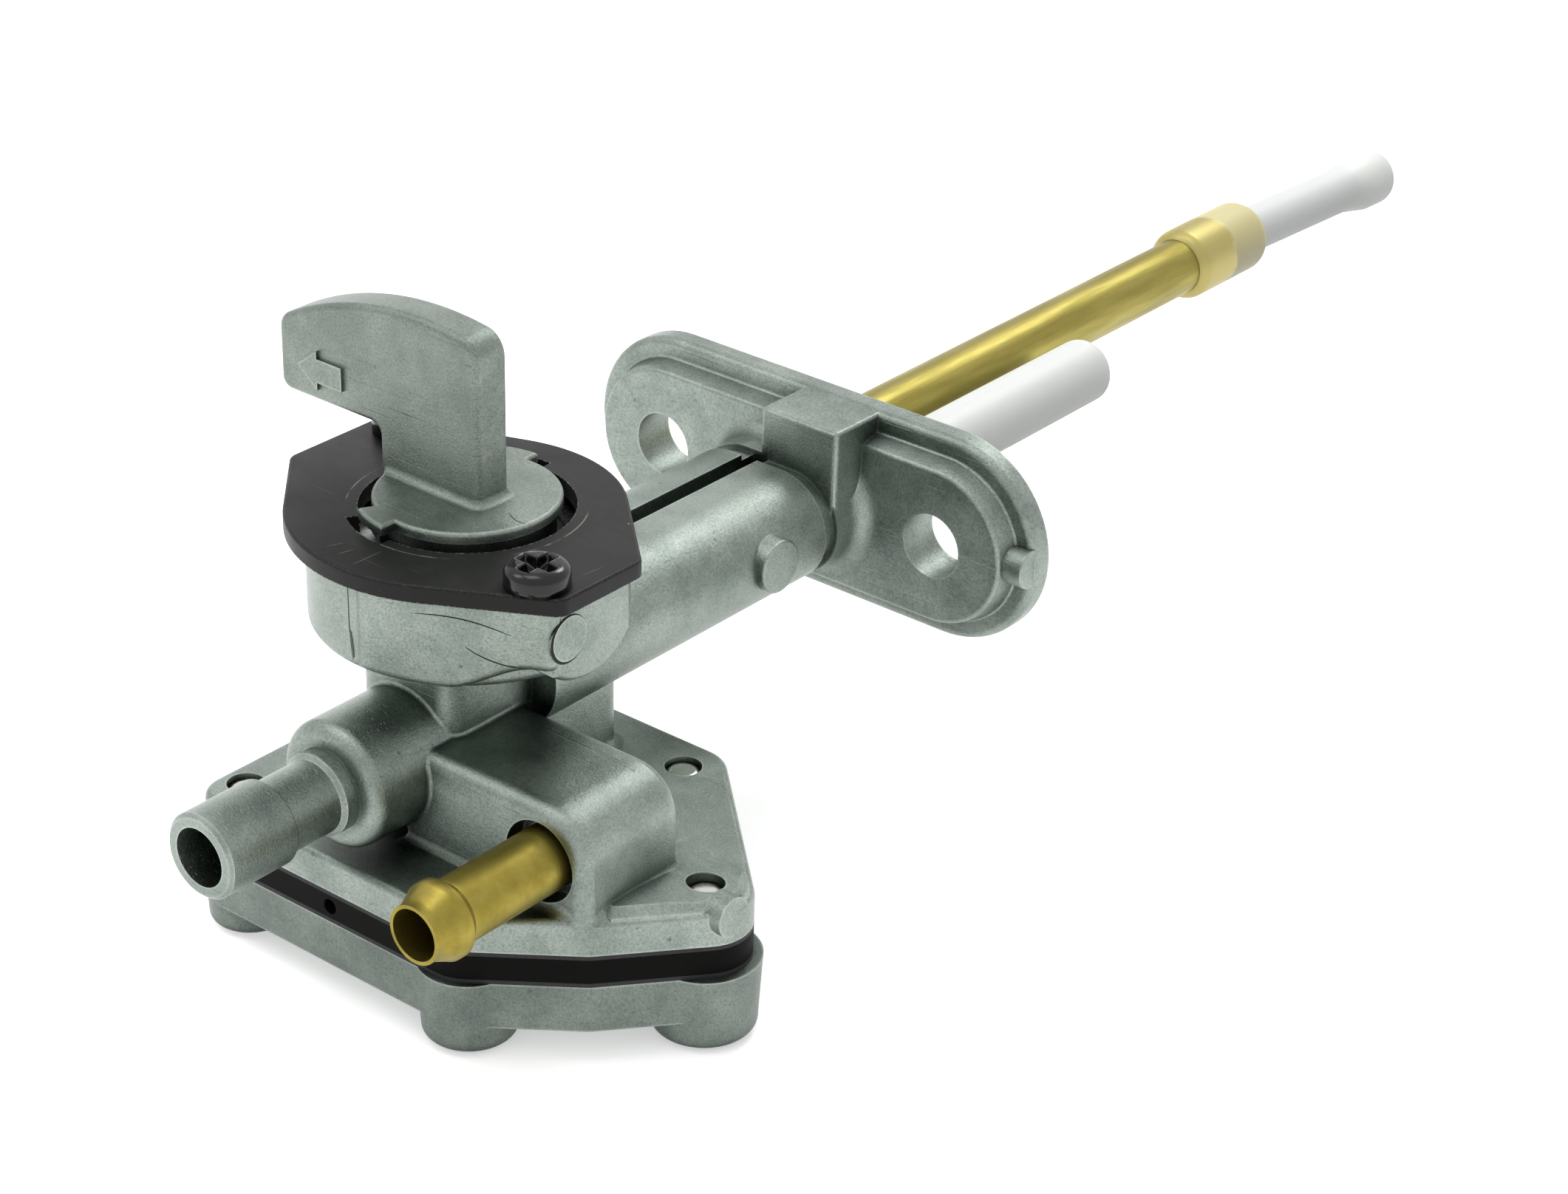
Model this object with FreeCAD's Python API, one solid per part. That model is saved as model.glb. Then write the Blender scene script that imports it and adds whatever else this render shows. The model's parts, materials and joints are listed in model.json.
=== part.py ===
import FreeCAD, Part
import math
import os

# A die-cast vacuum fuel tap, in millimetres.
# The origin is the centre of the two flange holes, on the face that seals against the tank.
# +Y points into the tank, +Z runs up the lever's axis, and +X completes the frame.

# Tank flange
hole_spacing = 34.0
flange_hole_radius = 3.3
rim_radius = 10.6
rim_thickness = 2.3
rim_edge_radius = 0.9
pad_radius = 8.0
pad_draft = 0.8
pad_height = 2.4
pad_edge_radius = 0.5
pad_cove = 0.3
top_block_left = -1.1
top_block_right = 8.3
top_block_front = 6.5
top_block_inset = 0.15
runner_stub_radius = 1.75
runner_stub_inset = 0.8
runner_stub_y = -1.8
runner_stub_z = -0.4
flange_ring_radius = 9.0
flange_ring_section = 1.0
flange_groove_depth = 1.5

# Neck and the two fuel passages in it
neck_half_height = 5.7
neck_centre_x = 3.1
neck_fillet = 2.0
passage_x = 4.3
passage_radius = 2.25
neck_groove_width = 1.8
neck_groove_depth = 0.6
neck_groove_from_flange = 8.7
top_slot_width = 1.9
top_slot_depth = 1.6
side_disc_radius = 2.7
side_disc_height = 0.9
side_disc_y = -18.4
side_disc_z = 0.45

# Lever housing
lever_axis_y = -50.6
housing_radius = 14.3
housing_top = 14.3
housing_depth = 9.1
housing_corner = 1.0
neck_end_past_axis = 1.7
cavity_radius = 11.6
cavity_depth = 6.6
port_circle = 5.6
port_radius = 1.3
feed_radius = 1.1
floor_groove_depth = 1.2
ear_reach = 17.4
ear_depth = 8.4
ear_lobe_radius = 6.7
ear_lobe_y = -3.4
ear_lobe_drop = 1.2
ear_edge_round = 0.6
ear_mark_radius = 2.1

# Retainer plate and its two screws
plate_thickness = 1.6
plate_reach = 18.5
plate_low_corner = 8.6
plate_high_corner = 4.6
plate_cut_corner = 2.9
plate_front_round = 16.1
plate_back_round = 14.1
plate_corner = 1.5
plate_opening = 9.6
plate_notch_reach = 1.2
plate_screw_x = 14.9
plate_screw_y = -7.15
small_thread_radius = 1.5
small_screw_length = 5.0
small_head_radius = 2.75
small_head_height = 2.4
small_recess_width = 3.4
small_recess_depth = 1.6

# Lever
lever_disc_radius = 8.4
lever_disc_thickness = 1.0
lever_disc_rise = 1.2
lever_hub_radius = 7.8
lug_radius = 9.9
lug_angle = 107.0
lug_sweep = 25.0
rotor_thickness = 3.15
rotor_play = 0.2
lever_ring_section = 0.65
ring_play = 0.05
fin_thickness = 4.0
fin_edge = 0.7
fin_tip_x = -21.1
fin_back_x = 3.2
fin_root_x = -8.8
fin_tip_top = 12.3
fin_top = 16.75
fin_top_x = -8.5
fin_back_top = 16.4
fin_underside = 5.4
fin_back_corner = 2.4
fin_tip_corner = 1.6
fin_low_corner = 1.2
fin_inner_corner = 1.0
fin_root_fillet = 0.8
arrow_relief = 0.3
arrow_tip_x = -18.5
arrow_head_x = -16.05
arrow_tail_x = -13.0
arrow_z = 8.55
arrow_half_head = 1.9
arrow_half_shaft = 1.15
channel_depth = 1.5
channel_half_width = 1.5

# Gasket and wave washer under the retainer plate
gasket_thickness = 1.8
gasket_radius = 11.2
gasket_hole_radius = 1.5
washer_inner = 8.6
washer_outer = 11.3
washer_gauge = 0.3
washer_waves = 3
face_gap = 0.05

# Diaphragm base, which is part of the casting
base_top = -12.1
base_thickness = 3.4
base_left = 17.6
base_front = 18.4
left_corner = 3.0
screw_circle_left = -14.8
screw_circle_right = 13.0
screw_row_y = 14.3
tip_screw_x = 27.8
boss_round = 4.1
tip_round = 4.3
vacuum_corner_x = 21.3
vacuum_corner_y = -8.0
base_screw_radius = 1.75
screw_hole_play = 0.1
fuel_recess_radius = 11.5
fuel_recess_depth = 1.5
valve_bore_radius = 4.4
seat_above_base = 3.4
seat_hole_radius = 2.0
web_height = 0.9
web_bevel = 0.8
web_ridge_y = -5.0
web_back_y = 6.0
tip_stub_radius = 1.9
tip_stub_y = -1.2
tip_stub_drop = 0.8
base_edge_radius = 0.7
column_half_width = 5.8
column_front = 8.6
column_back = 14.0
column_corner = 2.0
cast_fillet = 1.1
small_cast_fillet = 0.4

# Fuel outlet
outlet_z = -5.1
outlet_length = 33.0
outlet_radius = 4.0
outlet_neck_radius = 3.45
outlet_root_radius = 3.9
outlet_bore_radius = 2.75
outlet_barb_length = 7.75
outlet_root_length = 1.4
outlet_end_chamfer = 0.35
collar_radius = 6.05
collar_face = 18.0
collar_round = 1.4

# Vacuum boss and its brass nipple
vacuum_boss_left = 3.2
vacuum_boss_right = 24.2
vacuum_boss_front = 11.6
vacuum_boss_back = 1.0
vacuum_boss_top = 9.8
vacuum_boss_shoulder = 4.5
vacuum_boss_edge = 1.4
nipple_x = 18.9
nipple_z = -7.7
nipple_radius = 3.0
nipple_wall = 0.55
nipple_length = 15.2
nipple_seat = 5.0
nipple_mouth_radius = 2.75
nipple_bead_radius = 3.65
counterbore_radius = 3.85
counterbore_depth = 2.0
vacuum_passage_radius = 1.1
vacuum_passage_y = -4.5

# Diaphragm stack, from the base down
diaphragm_gauge = 0.4
spacer_thickness = 2.4
chamber_radius = 11.5
vent_radius = 0.75
convolution_radius = 9.0
convolution_height = 0.9
convolution_half_width = 1.5
cover_thickness = 4.6
cover_bulge = 0.25
cover_seam = 2.4
cover_recess_depth = 3.0
spring_pocket_radius = 6.0
spring_pocket_depth = 2.7
cover_wall = 1.4
cover_boss_drop = 2.9
cover_boss_radius = 4.3
cover_boss_draft = 0.4
cover_left_boss_radius = 3.9
cover_tip_boss_radius = 4.8
boss_end_round = 1.0
screw_head_radius = 2.9
screw_head_height = 2.1
head_pocket_play = 0.2
screw_end_depth = 0.35
screw_end_round = 0.7

# Valve plunger and what is clamped on it
plunger_head_radius = 4.0
plunger_head_thickness = 1.25
plunger_nose_radius = 2.18
plunger_shoulder_radius = 2.0
stem_radius = 1.2
stem_play = 0.02
seal_section = 0.8
seal_circle = 3.0
side_plate_radius = 6.5
side_plate_gauge = 0.8
centre_collar_radius = 6.0
cup_rim_inner = 5.2
cup_rim_outer = 5.8
cup_rim_height = 0.8
clip_radius = 2.1
clip_thickness = 0.6
plunger_travel = 1.5
spring_radius = 4.5
spring_wire = 0.35
spring_turns = 3.5

# Brass standpipe and the two strainers
standpipe_radius = 3.2
standpipe_wall = 0.55
standpipe_reach = 76.4
standpipe_seat = 7.0
collar_cap_radius = 4.1
collar_cap_overlap = 6.3
collar_cap_length = 14.0
collar_cap_round = 1.6
strainer_radius = 2.65
strainer_wall = 0.7
strainer_length = 30.5
strainer_droop = 2.5
bulb_radius = 3.4
bulb_length = 9.0
reserve_radius = 3.45
reserve_reach = 40.4
reserve_plug_radius = 2.9
reserve_seat = 5.0
press_play = 0.02

# Heights and places that follow from the sizes above
plate_top = housing_top + plate_thickness
housing_bottom = housing_top - housing_depth
floor_z = housing_top - cavity_depth
gasket_top = floor_z + gasket_thickness
rotor_bottom = gasket_top + face_gap
rotor_top = rotor_bottom + rotor_thickness
rotor_radius = cavity_radius - rotor_play
base_bottom = base_top - base_thickness
fuel_sheet_bottom = base_bottom - diaphragm_gauge
spacer_bottom = fuel_sheet_bottom - spacer_thickness
cover_top = spacer_bottom - diaphragm_gauge
cover_bottom = cover_top - cover_thickness
foot_z = cover_bottom - cover_boss_drop
recess_floor = cover_top - cover_recess_depth
pocket_floor = recess_floor - spring_pocket_depth
head_seat_z = foot_z + screw_head_height + head_pocket_play
seat_z = base_bottom + base_thickness + seat_above_base
pad_face = -rim_thickness - pad_height
collar_cap_start = standpipe_reach - collar_cap_overlap
outlet_end = lever_axis_y - outlet_length
nipple_face = lever_axis_y - vacuum_boss_front
port_offset = port_circle * math.sqrt(0.5)
spring_top = cover_top - side_plate_gauge
screw_places = [
    (screw_circle_left, -screw_row_y),
    (screw_circle_right, -screw_row_y),
    (tip_screw_x, 0.0),
    (screw_circle_right, screw_row_y),
    (screw_circle_left, screw_row_y),
]
vacuum_passage = (nipple_x, vacuum_passage_y)


def vec(x, y, z):
    return FreeCAD.Vector(x, y, z)


def rod_x(radius, x0, x1, y, z):
    return Part.makeCylinder(radius, x1 - x0, vec(x0, y, z), vec(1, 0, 0))


def rod_y(radius, y0, y1, x, z):
    return Part.makeCylinder(radius, y1 - y0, vec(x, y0, z), vec(0, 1, 0))


def rod_z(radius, z0, z1, x, y):
    """An upright cylinder; x and y are measured from the lever's axis."""
    return Part.makeCylinder(radius, z1 - z0, vec(x, y + lever_axis_y, z0), vec(0, 0, 1))


def block(x0, x1, y0, y1, z0, z1):
    return Part.makeBox(x1 - x0, y1 - y0, z1 - z0, vec(x0, y0, z0))


def turned_z(profile, x=0.0, y=0.0):
    """A solid turned about an upright axis; profile is a list of (radius, z)."""
    points = [vec(x + r, y + lever_axis_y, z) for r, z in profile]
    wire = Part.makePolygon(points + [points[0]])
    return Part.Face(wire).revolve(vec(x, y + lever_axis_y, 0), vec(0, 0, 1), 360)


def turned_y(profile, x, z):
    """A solid turned about an axis along Y; profile is a list of (radius, y)."""
    points = [vec(x + r, y, z) for r, y in profile]
    wire = Part.makePolygon(points + [points[0]])
    return Part.Face(wire).revolve(vec(x, 0, z), vec(0, 1, 0), 360)


def soften(solid, radius, wanted):
    """Rounds the edges for which wanted(edge) is true."""
    edges = [edge for edge in solid.Edges if wanted(edge)]
    return solid.makeFillet(radius, edges) if edges else solid


def flat_at(axis, value):
    """Picks edges that lie wholly in the plane where one coordinate has this value."""
    def wanted(edge):
        box = edge.BoundBox
        low = (box.XMin, box.YMin, box.ZMin)[axis]
        high = (box.XMax, box.YMax, box.ZMax)[axis]
        return abs(low - value) < 1e-4 and abs(high - value) < 1e-4
    return wanted


def along(axis):
    """Picks straight edges that run along one axis."""
    def wanted(edge):
        box = edge.BoundBox
        sizes = [box.XLength, box.YLength, box.ZLength]
        length = sizes.pop(axis)
        return length > 1e-3 and max(sizes) < 1e-4
    return wanted


def obround_y(half_height, centre_x, y):
    """A wire across Y: two half circles joined by straight top and bottom edges."""
    left, right = -centre_x, centre_x
    top = Part.makeLine(vec(right, y, half_height), vec(left, y, half_height))
    bottom = Part.makeLine(vec(left, y, -half_height), vec(right, y, -half_height))
    turn_left = Part.Arc(vec(left, y, half_height), vec(left - half_height, y, 0),
                         vec(left, y, -half_height)).toShape()
    turn_right = Part.Arc(vec(right, y, -half_height), vec(right + half_height, y, 0),
                          vec(right, y, half_height)).toShape()
    return Part.Wire([top, turn_left, bottom, turn_right])


def obround_bar(half_height, centre_x, y0, y1):
    face = Part.Face(obround_y(half_height, centre_x, y0))
    return face.extrude(vec(0, y1 - y0, 0))


def obround_loft(start, finish):
    """A bar whose obround section changes evenly; each end is (half_height, centre_x, y)."""
    return Part.makeLoft([obround_y(*start), obround_y(*finish)], True, True)


def belt(circles, z, grow=0.0):
    """A wire pulled tight round circles (x, y, radius), given anticlockwise."""
    rounds = [(x, y + lever_axis_y, r + grow) for x, y, r in circles]
    leaves, meets = [], []
    for (x0, y0, r0), (x1, y1, r1) in zip(rounds, rounds[1:] + rounds[:1]):
        distance = math.hypot(x1 - x0, y1 - y0)
        heading = math.atan2(y1 - y0, x1 - x0)
        normal = heading - math.acos((r0 - r1) / distance)
        leaves.append((x0 + r0 * math.cos(normal), y0 + r0 * math.sin(normal), normal))
        meets.append((x1 + r1 * math.cos(normal), y1 + r1 * math.sin(normal), normal))
    edges = []
    for i, (x, y, r) in enumerate(rounds):
        start, finish = meets[i - 1], leaves[i]
        turn = (finish[2] - start[2]) % (2 * math.pi)
        middle = start[2] + turn / 2
        arc = Part.Arc(vec(start[0], start[1], z),
                       vec(x + r * math.cos(middle), y + r * math.sin(middle), z),
                       vec(finish[0], finish[1], z))
        edges.append(arc.toShape())
        after = meets[i]
        edges.append(Part.makeLine(vec(finish[0], finish[1], z), vec(after[0], after[1], z)))
    return Part.Wire(edges)


def base_circles():
    """The corners that the base, the diaphragms, the spacer and the cover share."""
    left = -base_left + left_corner
    row = base_front - left_corner
    return [
        (left, -row, left_corner),
        (screw_circle_right, -screw_row_y, boss_round),
        (vacuum_corner_x, vacuum_corner_y, boss_round),
        (tip_screw_x, 0.0, tip_round),
        (screw_circle_right, screw_row_y, boss_round),
        (left, row, left_corner),
    ]


def belt_plate(z0, z1, grow=0.0):
    return Part.Face(belt(base_circles(), z0, grow)).extrude(vec(0, 0, z1 - z0))


def plate_circles(inset, front, back):
    """Circles that the retainer's outline is pulled round: four corners and two large ones."""
    across = plate_reach - plate_corner
    corner = plate_corner - inset
    return [
        (across, -plate_low_corner + plate_corner, corner),
        (across, plate_cut_corner - plate_corner, corner),
        (0.0, 0.0, back),
        (-across, plate_low_corner - plate_corner, corner),
        (-across, -plate_high_corner + plate_corner, corner),
        (0.0, 0.0, front),
    ]


def sector(inner, outer, start, sweep, z0, z1):
    """Part of a ring about the lever's axis, from one angle on, in degrees."""
    ring = rod_z(outer, z0, z1, 0, 0).cut(rod_z(inner, z0, z1, 0, 0))
    wedge = Part.makeCylinder(outer + 5, z1 - z0, vec(0, lever_axis_y, z0), vec(0, 0, 1), sweep)
    wedge.rotate(vec(0, lever_axis_y, 0), vec(0, 0, 1), start)
    return ring.common(wedge)


def inside_corners(solid, low, high):
    """The edges where two faces meet in an inside corner, if their middle is within a box."""
    owners = {}
    for face in solid.Faces:
        for edge in face.Edges:
            owners.setdefault(edge.hashCode(), []).append((edge, face))
    found = []
    for pairs in owners.values():
        edge = pairs[0][0]
        middle = edge.valueAt((edge.FirstParameter + edge.LastParameter) / 2)
        inside_box = all(low[i] <= middle[i] <= high[i] for i in range(3))
        if len(pairs) < 2 or edge.Length < 0.05 or not inside_box:
            continue
        normals = []
        for _, face in pairs[:2]:
            u, v = face.Surface.parameter(middle)
            normals.append(face.normalAt(u, v))
        if normals[0].getAngle(normals[1]) < math.radians(8):
            continue
        step = (normals[0] - normals[1]) * 0.03
        if solid.isInside(middle + step, 1e-4, False) and solid.isInside(middle - step, 1e-4, False):
            found.append(edge)
    return found


def blend(solid, radius, low, high):
    """Fillets the inside corners within a box, with half the radius where it doesn't fit."""
    edges = inside_corners(solid, low, high)
    while edges and radius > 0.1:
        try:
            rounded = solid.makeFillet(radius, edges)
        except Part.OCCError:
            rounded = None
        if rounded is not None and not rounded.isNull() and rounded.isValid():
            return rounded
        radius /= 2
    return solid


def make_flange():
    """Rim, raised pad, block on top and the stub that the casting's runner left."""
    half = hole_spacing / 2
    rim = obround_bar(rim_radius, half, -rim_thickness, 0)
    rim = soften(rim, rim_edge_radius, flat_at(1, -rim_thickness))
    pad = obround_loft((pad_radius + pad_draft, half, -rim_thickness / 2), (pad_radius, half, pad_face))
    pad = soften(pad, pad_edge_radius, flat_at(1, pad_face))
    stub_end = half + rim_radius - runner_stub_inset
    stub = rod_x(runner_stub_radius, half, stub_end, runner_stub_y, runner_stub_z)
    stub = soften(stub, 0.4, flat_at(0, stub_end))
    flange = rim.fuse(pad).removeSplitter()
    reach = half + rim_radius
    flange = blend(flange, pad_cove, (-reach, -rim_thickness - 0.01, -reach),
                   (reach, -rim_thickness + 0.01, reach))
    return flange.fuse(stub)


def make_top_block():
    """The block between the neck and the rim's top edge."""
    front = pad_face - top_block_front + pad_height
    top = rim_radius - top_block_inset
    lump = block(top_block_left, top_block_right, front, -rim_thickness / 2, 0, top)
    lump = soften(lump, 0.6, lambda edge: along(2)(edge) and edge.CenterOfMass.y < front + 0.1)
    return soften(lump, 0.4, lambda edge: edge.BoundBox.ZMin > top - 0.01
                  and edge.BoundBox.YMin < front + 1)


def make_neck():
    """The bar that carries both fuel passages, with its groove and top slot."""
    end = lever_axis_y + neck_end_past_axis
    bar = obround_bar(neck_half_height, neck_centre_x, end, pad_face + 0.5)
    groove_back = -neck_groove_from_flange
    groove_front = groove_back - neck_groove_width
    outer = obround_bar(neck_half_height + 1, neck_centre_x, groove_front, groove_back)
    inner = obround_bar(neck_half_height - neck_groove_depth, neck_centre_x, groove_front, groove_back)
    bar = bar.cut(outer.cut(inner))
    side = neck_centre_x + neck_half_height
    disc = rod_x(side_disc_radius, side - 2, side + side_disc_height, side_disc_y, side_disc_z)
    disc = soften(disc, 0.3, flat_at(0, side + side_disc_height))
    return bar.fuse(disc)


def make_top_slot():
    """The slot along the neck's top, between the lever housing and the top block."""
    return block(-top_slot_width, 0, lever_axis_y + housing_radius - 1, -neck_groove_from_flange,
                 neck_half_height - top_slot_depth, neck_half_height + 1)


def make_housing():
    """The round lever housing with an ear under each retainer screw."""
    drum = rod_z(housing_radius, housing_bottom, housing_top, 0, 0)
    drum = soften(drum, housing_corner, flat_at(2, housing_bottom))
    ear_bottom = housing_top - ear_depth
    circles = plate_circles(plate_reach - ear_reach, housing_radius, housing_radius)
    ears = Part.Face(belt(circles, ear_bottom)).extrude(vec(0, 0, ear_depth))
    lobe_z = housing_top - ear_lobe_drop
    lobes = rod_x(ear_lobe_radius, 0, ear_reach, lever_axis_y + ear_lobe_y, lobe_z)
    lobes = soften(lobes, ear_edge_round, flat_at(0, ear_reach))
    other = rod_x(ear_lobe_radius, -ear_reach, 0, lever_axis_y - ear_lobe_y, lobe_z)
    other = soften(other, ear_edge_round, flat_at(0, -ear_reach))
    ears = ears.common(lobes.fuse(other))
    return drum.fuse(ears).removeSplitter()


def make_ear_mark():
    """The flat round mark beside the front retainer screw."""
    y = lever_axis_y - (plate_low_corner - plate_high_corner) - 2.0
    return rod_x(ear_mark_radius, ear_reach - 3, ear_reach + 0.12, y, housing_top - 3.1)


def make_column():
    """The post between the lever housing and the diaphragm base."""
    post = block(-column_half_width, column_half_width, lever_axis_y - column_front,
                 lever_axis_y + column_back, base_top - 0.5, housing_bottom + 0.5)
    return soften(post, column_corner, along(2))


def make_collar():
    """The thick cylinder that joins the outlet spigot to the column."""
    root = lever_axis_y - collar_face
    collar = rod_y(collar_radius, root, lever_axis_y, 0, outlet_z)
    return soften(collar, collar_round, flat_at(1, root))


def make_outlet():
    """The outlet spigot: root, neck and barb, in one line."""
    root = lever_axis_y - collar_face
    barb = outlet_end + outlet_barb_length
    chamfer = outlet_end_chamfer
    profile = [
        (0, root + 1),
        (outlet_root_radius, root + 1),
        (outlet_root_radius, root - outlet_root_length),
        (outlet_neck_radius, root - outlet_root_length - 0.4),
        (outlet_neck_radius, barb),
        (outlet_radius, barb),
        (outlet_radius, outlet_end + chamfer),
        (outlet_radius - chamfer, outlet_end),
        (0, outlet_end),
    ]
    outlet = turned_y(profile, 0, outlet_z)
    return soften(outlet, 0.25, flat_at(1, barb))


def make_base():
    """The plate over the diaphragms."""
    plate = belt_plate(base_bottom, base_top)
    return soften(plate, base_edge_radius, flat_at(2, base_top))


def make_web():
    """The bevelled land that slopes back beside the vacuum boss, and a runner's stub at the tip."""
    corners = [
        (vacuum_boss_right - 3.0, -9.6),
        (vacuum_boss_right + 1.0, -9.4),
        (tip_screw_x + 2.6, -3.4),
        (tip_screw_x + 3.2, 1.0),
        (tip_screw_x - 1.0, 6.5),
        (vacuum_boss_right - 3.0, 6.5),
    ]
    low = [vec(x, y + lever_axis_y, base_top - 0.5) for x, y in corners]
    land = Part.Face(Part.makePolygon(low + [low[0]])).extrude(vec(0, 0, 0.5 + web_height))
    land = land.makeChamfer(web_bevel, [e for e in land.Edges if flat_at(2, base_top + web_height)(e)])
    front, back = lever_axis_y + web_ridge_y, lever_axis_y + web_back_y
    slope = [
        vec(0, front - 10, base_top - 0.5),
        vec(0, front - 10, base_top + web_height),
        vec(0, front, base_top + web_height),
        vec(0, back, base_top - 0.05),
        vec(0, back, base_top - 0.5),
    ]
    wedge = Part.Face(Part.makePolygon(slope + [slope[0]])).extrude(vec(60, 0, 0))
    web = land.common(wedge)
    stub = rod_x(tip_stub_radius, tip_screw_x + 2.2, tip_screw_x + tip_round - 0.1,
                 lever_axis_y + tip_stub_y, base_top - tip_stub_drop)
    return web.fuse(stub)


def make_vacuum_boss():
    """The rounded block that holds the nipple."""
    back = lever_axis_y + vacuum_boss_back
    top = base_top + vacuum_boss_top
    lump = block(vacuum_boss_left, vacuum_boss_right, nipple_face, back, base_top - 0.5, top)
    lump = soften(lump, vacuum_boss_shoulder, lambda edge: along(1)(edge)
                  and edge.CenterOfMass.x > vacuum_boss_right - 0.01
                  and edge.CenterOfMass.z > base_top)
    return soften(lump, vacuum_boss_edge, lambda edge: along(2)(edge)
                  and edge.CenterOfMass.x > vacuum_boss_right - 0.01)


def make_lower_body():
    """Base, column, vacuum boss, collar and housing, with the fillets that join them."""
    reach = 60.0
    body = make_base().fuse([make_column(), make_vacuum_boss()]).removeSplitter()
    body = blend(body, cast_fillet, (-reach, -2 * reach, base_top - 0.01), (reach, 0, base_top + 0.01))
    body = body.fuse(make_collar()).removeSplitter()
    body = blend(body, small_cast_fillet,
                 (-reach, lever_axis_y - collar_face - 1, base_top + 0.05),
                 (reach, lever_axis_y - 0.5, housing_bottom - 0.6))
    body = body.fuse(make_housing()).removeSplitter()
    return blend(body, cast_fillet, (-reach, -2 * reach, housing_bottom - 0.05),
                 (reach, 0, housing_bottom + 0.05))


def make_upper_body():
    """Flange and neck, with the fillet round the neck's root."""
    body = make_flange().fuse(make_neck()).removeSplitter()
    reach = hole_spacing
    return blend(body, neck_fillet, (-reach, pad_face - 0.01, -reach), (reach, pad_face + 0.01, reach))


def make_valve_body():
    """The casting: every outer form fused, then every bore and recess cut."""
    outer = make_lower_body().fuse([make_upper_body(), make_top_block(), make_outlet(), make_web(),
                                    make_ear_mark()])
    outer = outer.removeSplitter()
    cuts = []
    half = hole_spacing / 2
    for x in (-half, half):
        cuts.append(rod_y(flange_hole_radius, pad_face - 1, 1, x, 0))
    cuts.append(make_top_slot())
    groove = rod_y(flange_ring_radius + flange_ring_section + press_play, -flange_groove_depth, 1, 0, 0)
    island = rod_y(flange_ring_radius - flange_ring_section - press_play, -flange_groove_depth, 1, 0, 0)
    cuts.append(groove.cut(island))
    passage_end = lever_axis_y + neck_end_past_axis + 1.3
    for x in (-passage_x, passage_x):
        cuts.append(rod_y(passage_radius, passage_end, 1, x, 0))
    cuts.append(rod_y(standpipe_radius + press_play, -standpipe_seat, 1, -passage_x, 0))
    cuts.append(rod_y(reserve_plug_radius + press_play, -reserve_seat, 1, passage_x, 0))
    cuts.append(rod_z(cavity_radius, floor_z, housing_top + 1, 0, 0))
    for x in (-port_offset, port_offset):
        cuts.append(rod_z(port_radius, 0, floor_z + 1, x, port_offset))
    cuts.append(rod_z(feed_radius, base_bottom, floor_z + 1, -port_offset, -port_offset))
    cuts.append(block(port_offset - port_radius, port_offset + port_radius,
                      lever_axis_y - port_offset, lever_axis_y + port_offset,
                      floor_z - floor_groove_depth, floor_z + 1))
    for sign in (-1, 1):
        cuts.append(rod_z(small_thread_radius, housing_top - small_screw_length - 0.3, housing_top + 1,
                          sign * plate_screw_x, sign * plate_screw_y))
    cuts.append(rod_y(outlet_bore_radius, outlet_end - 1, lever_axis_y + seat_hole_radius / 2, 0, outlet_z))
    cuts.append(rod_z(seat_hole_radius, seat_z - 0.5, outlet_z, 0, 0))
    cuts.append(rod_z(valve_bore_radius, base_bottom, seat_z, 0, 0))
    cuts.append(rod_z(fuel_recess_radius, base_bottom - 1, base_bottom + fuel_recess_depth, 0, 0))
    for x, y in screw_places:
        cuts.append(rod_z(base_screw_radius, base_bottom - 1, base_top + web_height + 1, x, y))
    cuts.append(rod_y(counterbore_radius, nipple_face - 1, nipple_face + counterbore_depth,
                      nipple_x, nipple_z))
    nipple_back = nipple_face + counterbore_depth + nipple_seat
    cuts.append(rod_y(nipple_radius + press_play, nipple_face, nipple_back, nipple_x, nipple_z))
    passage_x_place, passage_y_place = vacuum_passage
    cuts.append(rod_z(vacuum_passage_radius, base_bottom - 1, nipple_z, passage_x_place, passage_y_place))
    return outer.cut(cuts).removeSplitter()


def make_lever_fin():
    """The thumb fin, drawn in the plane of the lever's axis and the arrow."""
    y = lever_axis_y - fin_thickness / 2
    base = plate_top + lever_disc_rise - 0.5

    def spot(x, z):
        return vec(x, y, plate_top + z)

    root = vec(fin_root_x, y, base)
    heel = vec(fin_back_x, y, base)
    inner = spot(fin_root_x, fin_underside)
    edges = [
        Part.makeLine(heel, spot(fin_back_x, fin_back_top)),
        Part.Arc(spot(fin_back_x, fin_back_top), spot(fin_top_x, fin_top),
                 spot(fin_tip_x, fin_tip_top)).toShape(),
        Part.makeLine(spot(fin_tip_x, fin_tip_top), spot(fin_tip_x, fin_underside)),
        Part.makeLine(spot(fin_tip_x, fin_underside), inner),
        Part.makeLine(inner, root),
        Part.makeLine(root, heel),
    ]
    fin = Part.Face(Part.Wire(edges)).extrude(vec(0, fin_thickness, 0))
    corners = [
        (fin_back_corner, spot(fin_back_x, fin_back_top)),
        (fin_tip_corner, spot(fin_tip_x, fin_tip_top)),
        (fin_low_corner, spot(fin_tip_x, fin_underside)),
        (fin_inner_corner, inner),
    ]
    for radius, place in corners:
        fin = soften(fin, radius, lambda edge: along(1)(edge)
                     and abs(edge.CenterOfMass.x - place.x) < 0.01
                     and abs(edge.CenterOfMass.z - place.z) < 0.01)

    def rim(edge):
        side = flat_at(1, y)(edge) or flat_at(1, y + fin_thickness)(edge)
        return side and edge.BoundBox.ZMax > base + 0.01

    return soften(fin, fin_edge, rim)


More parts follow.
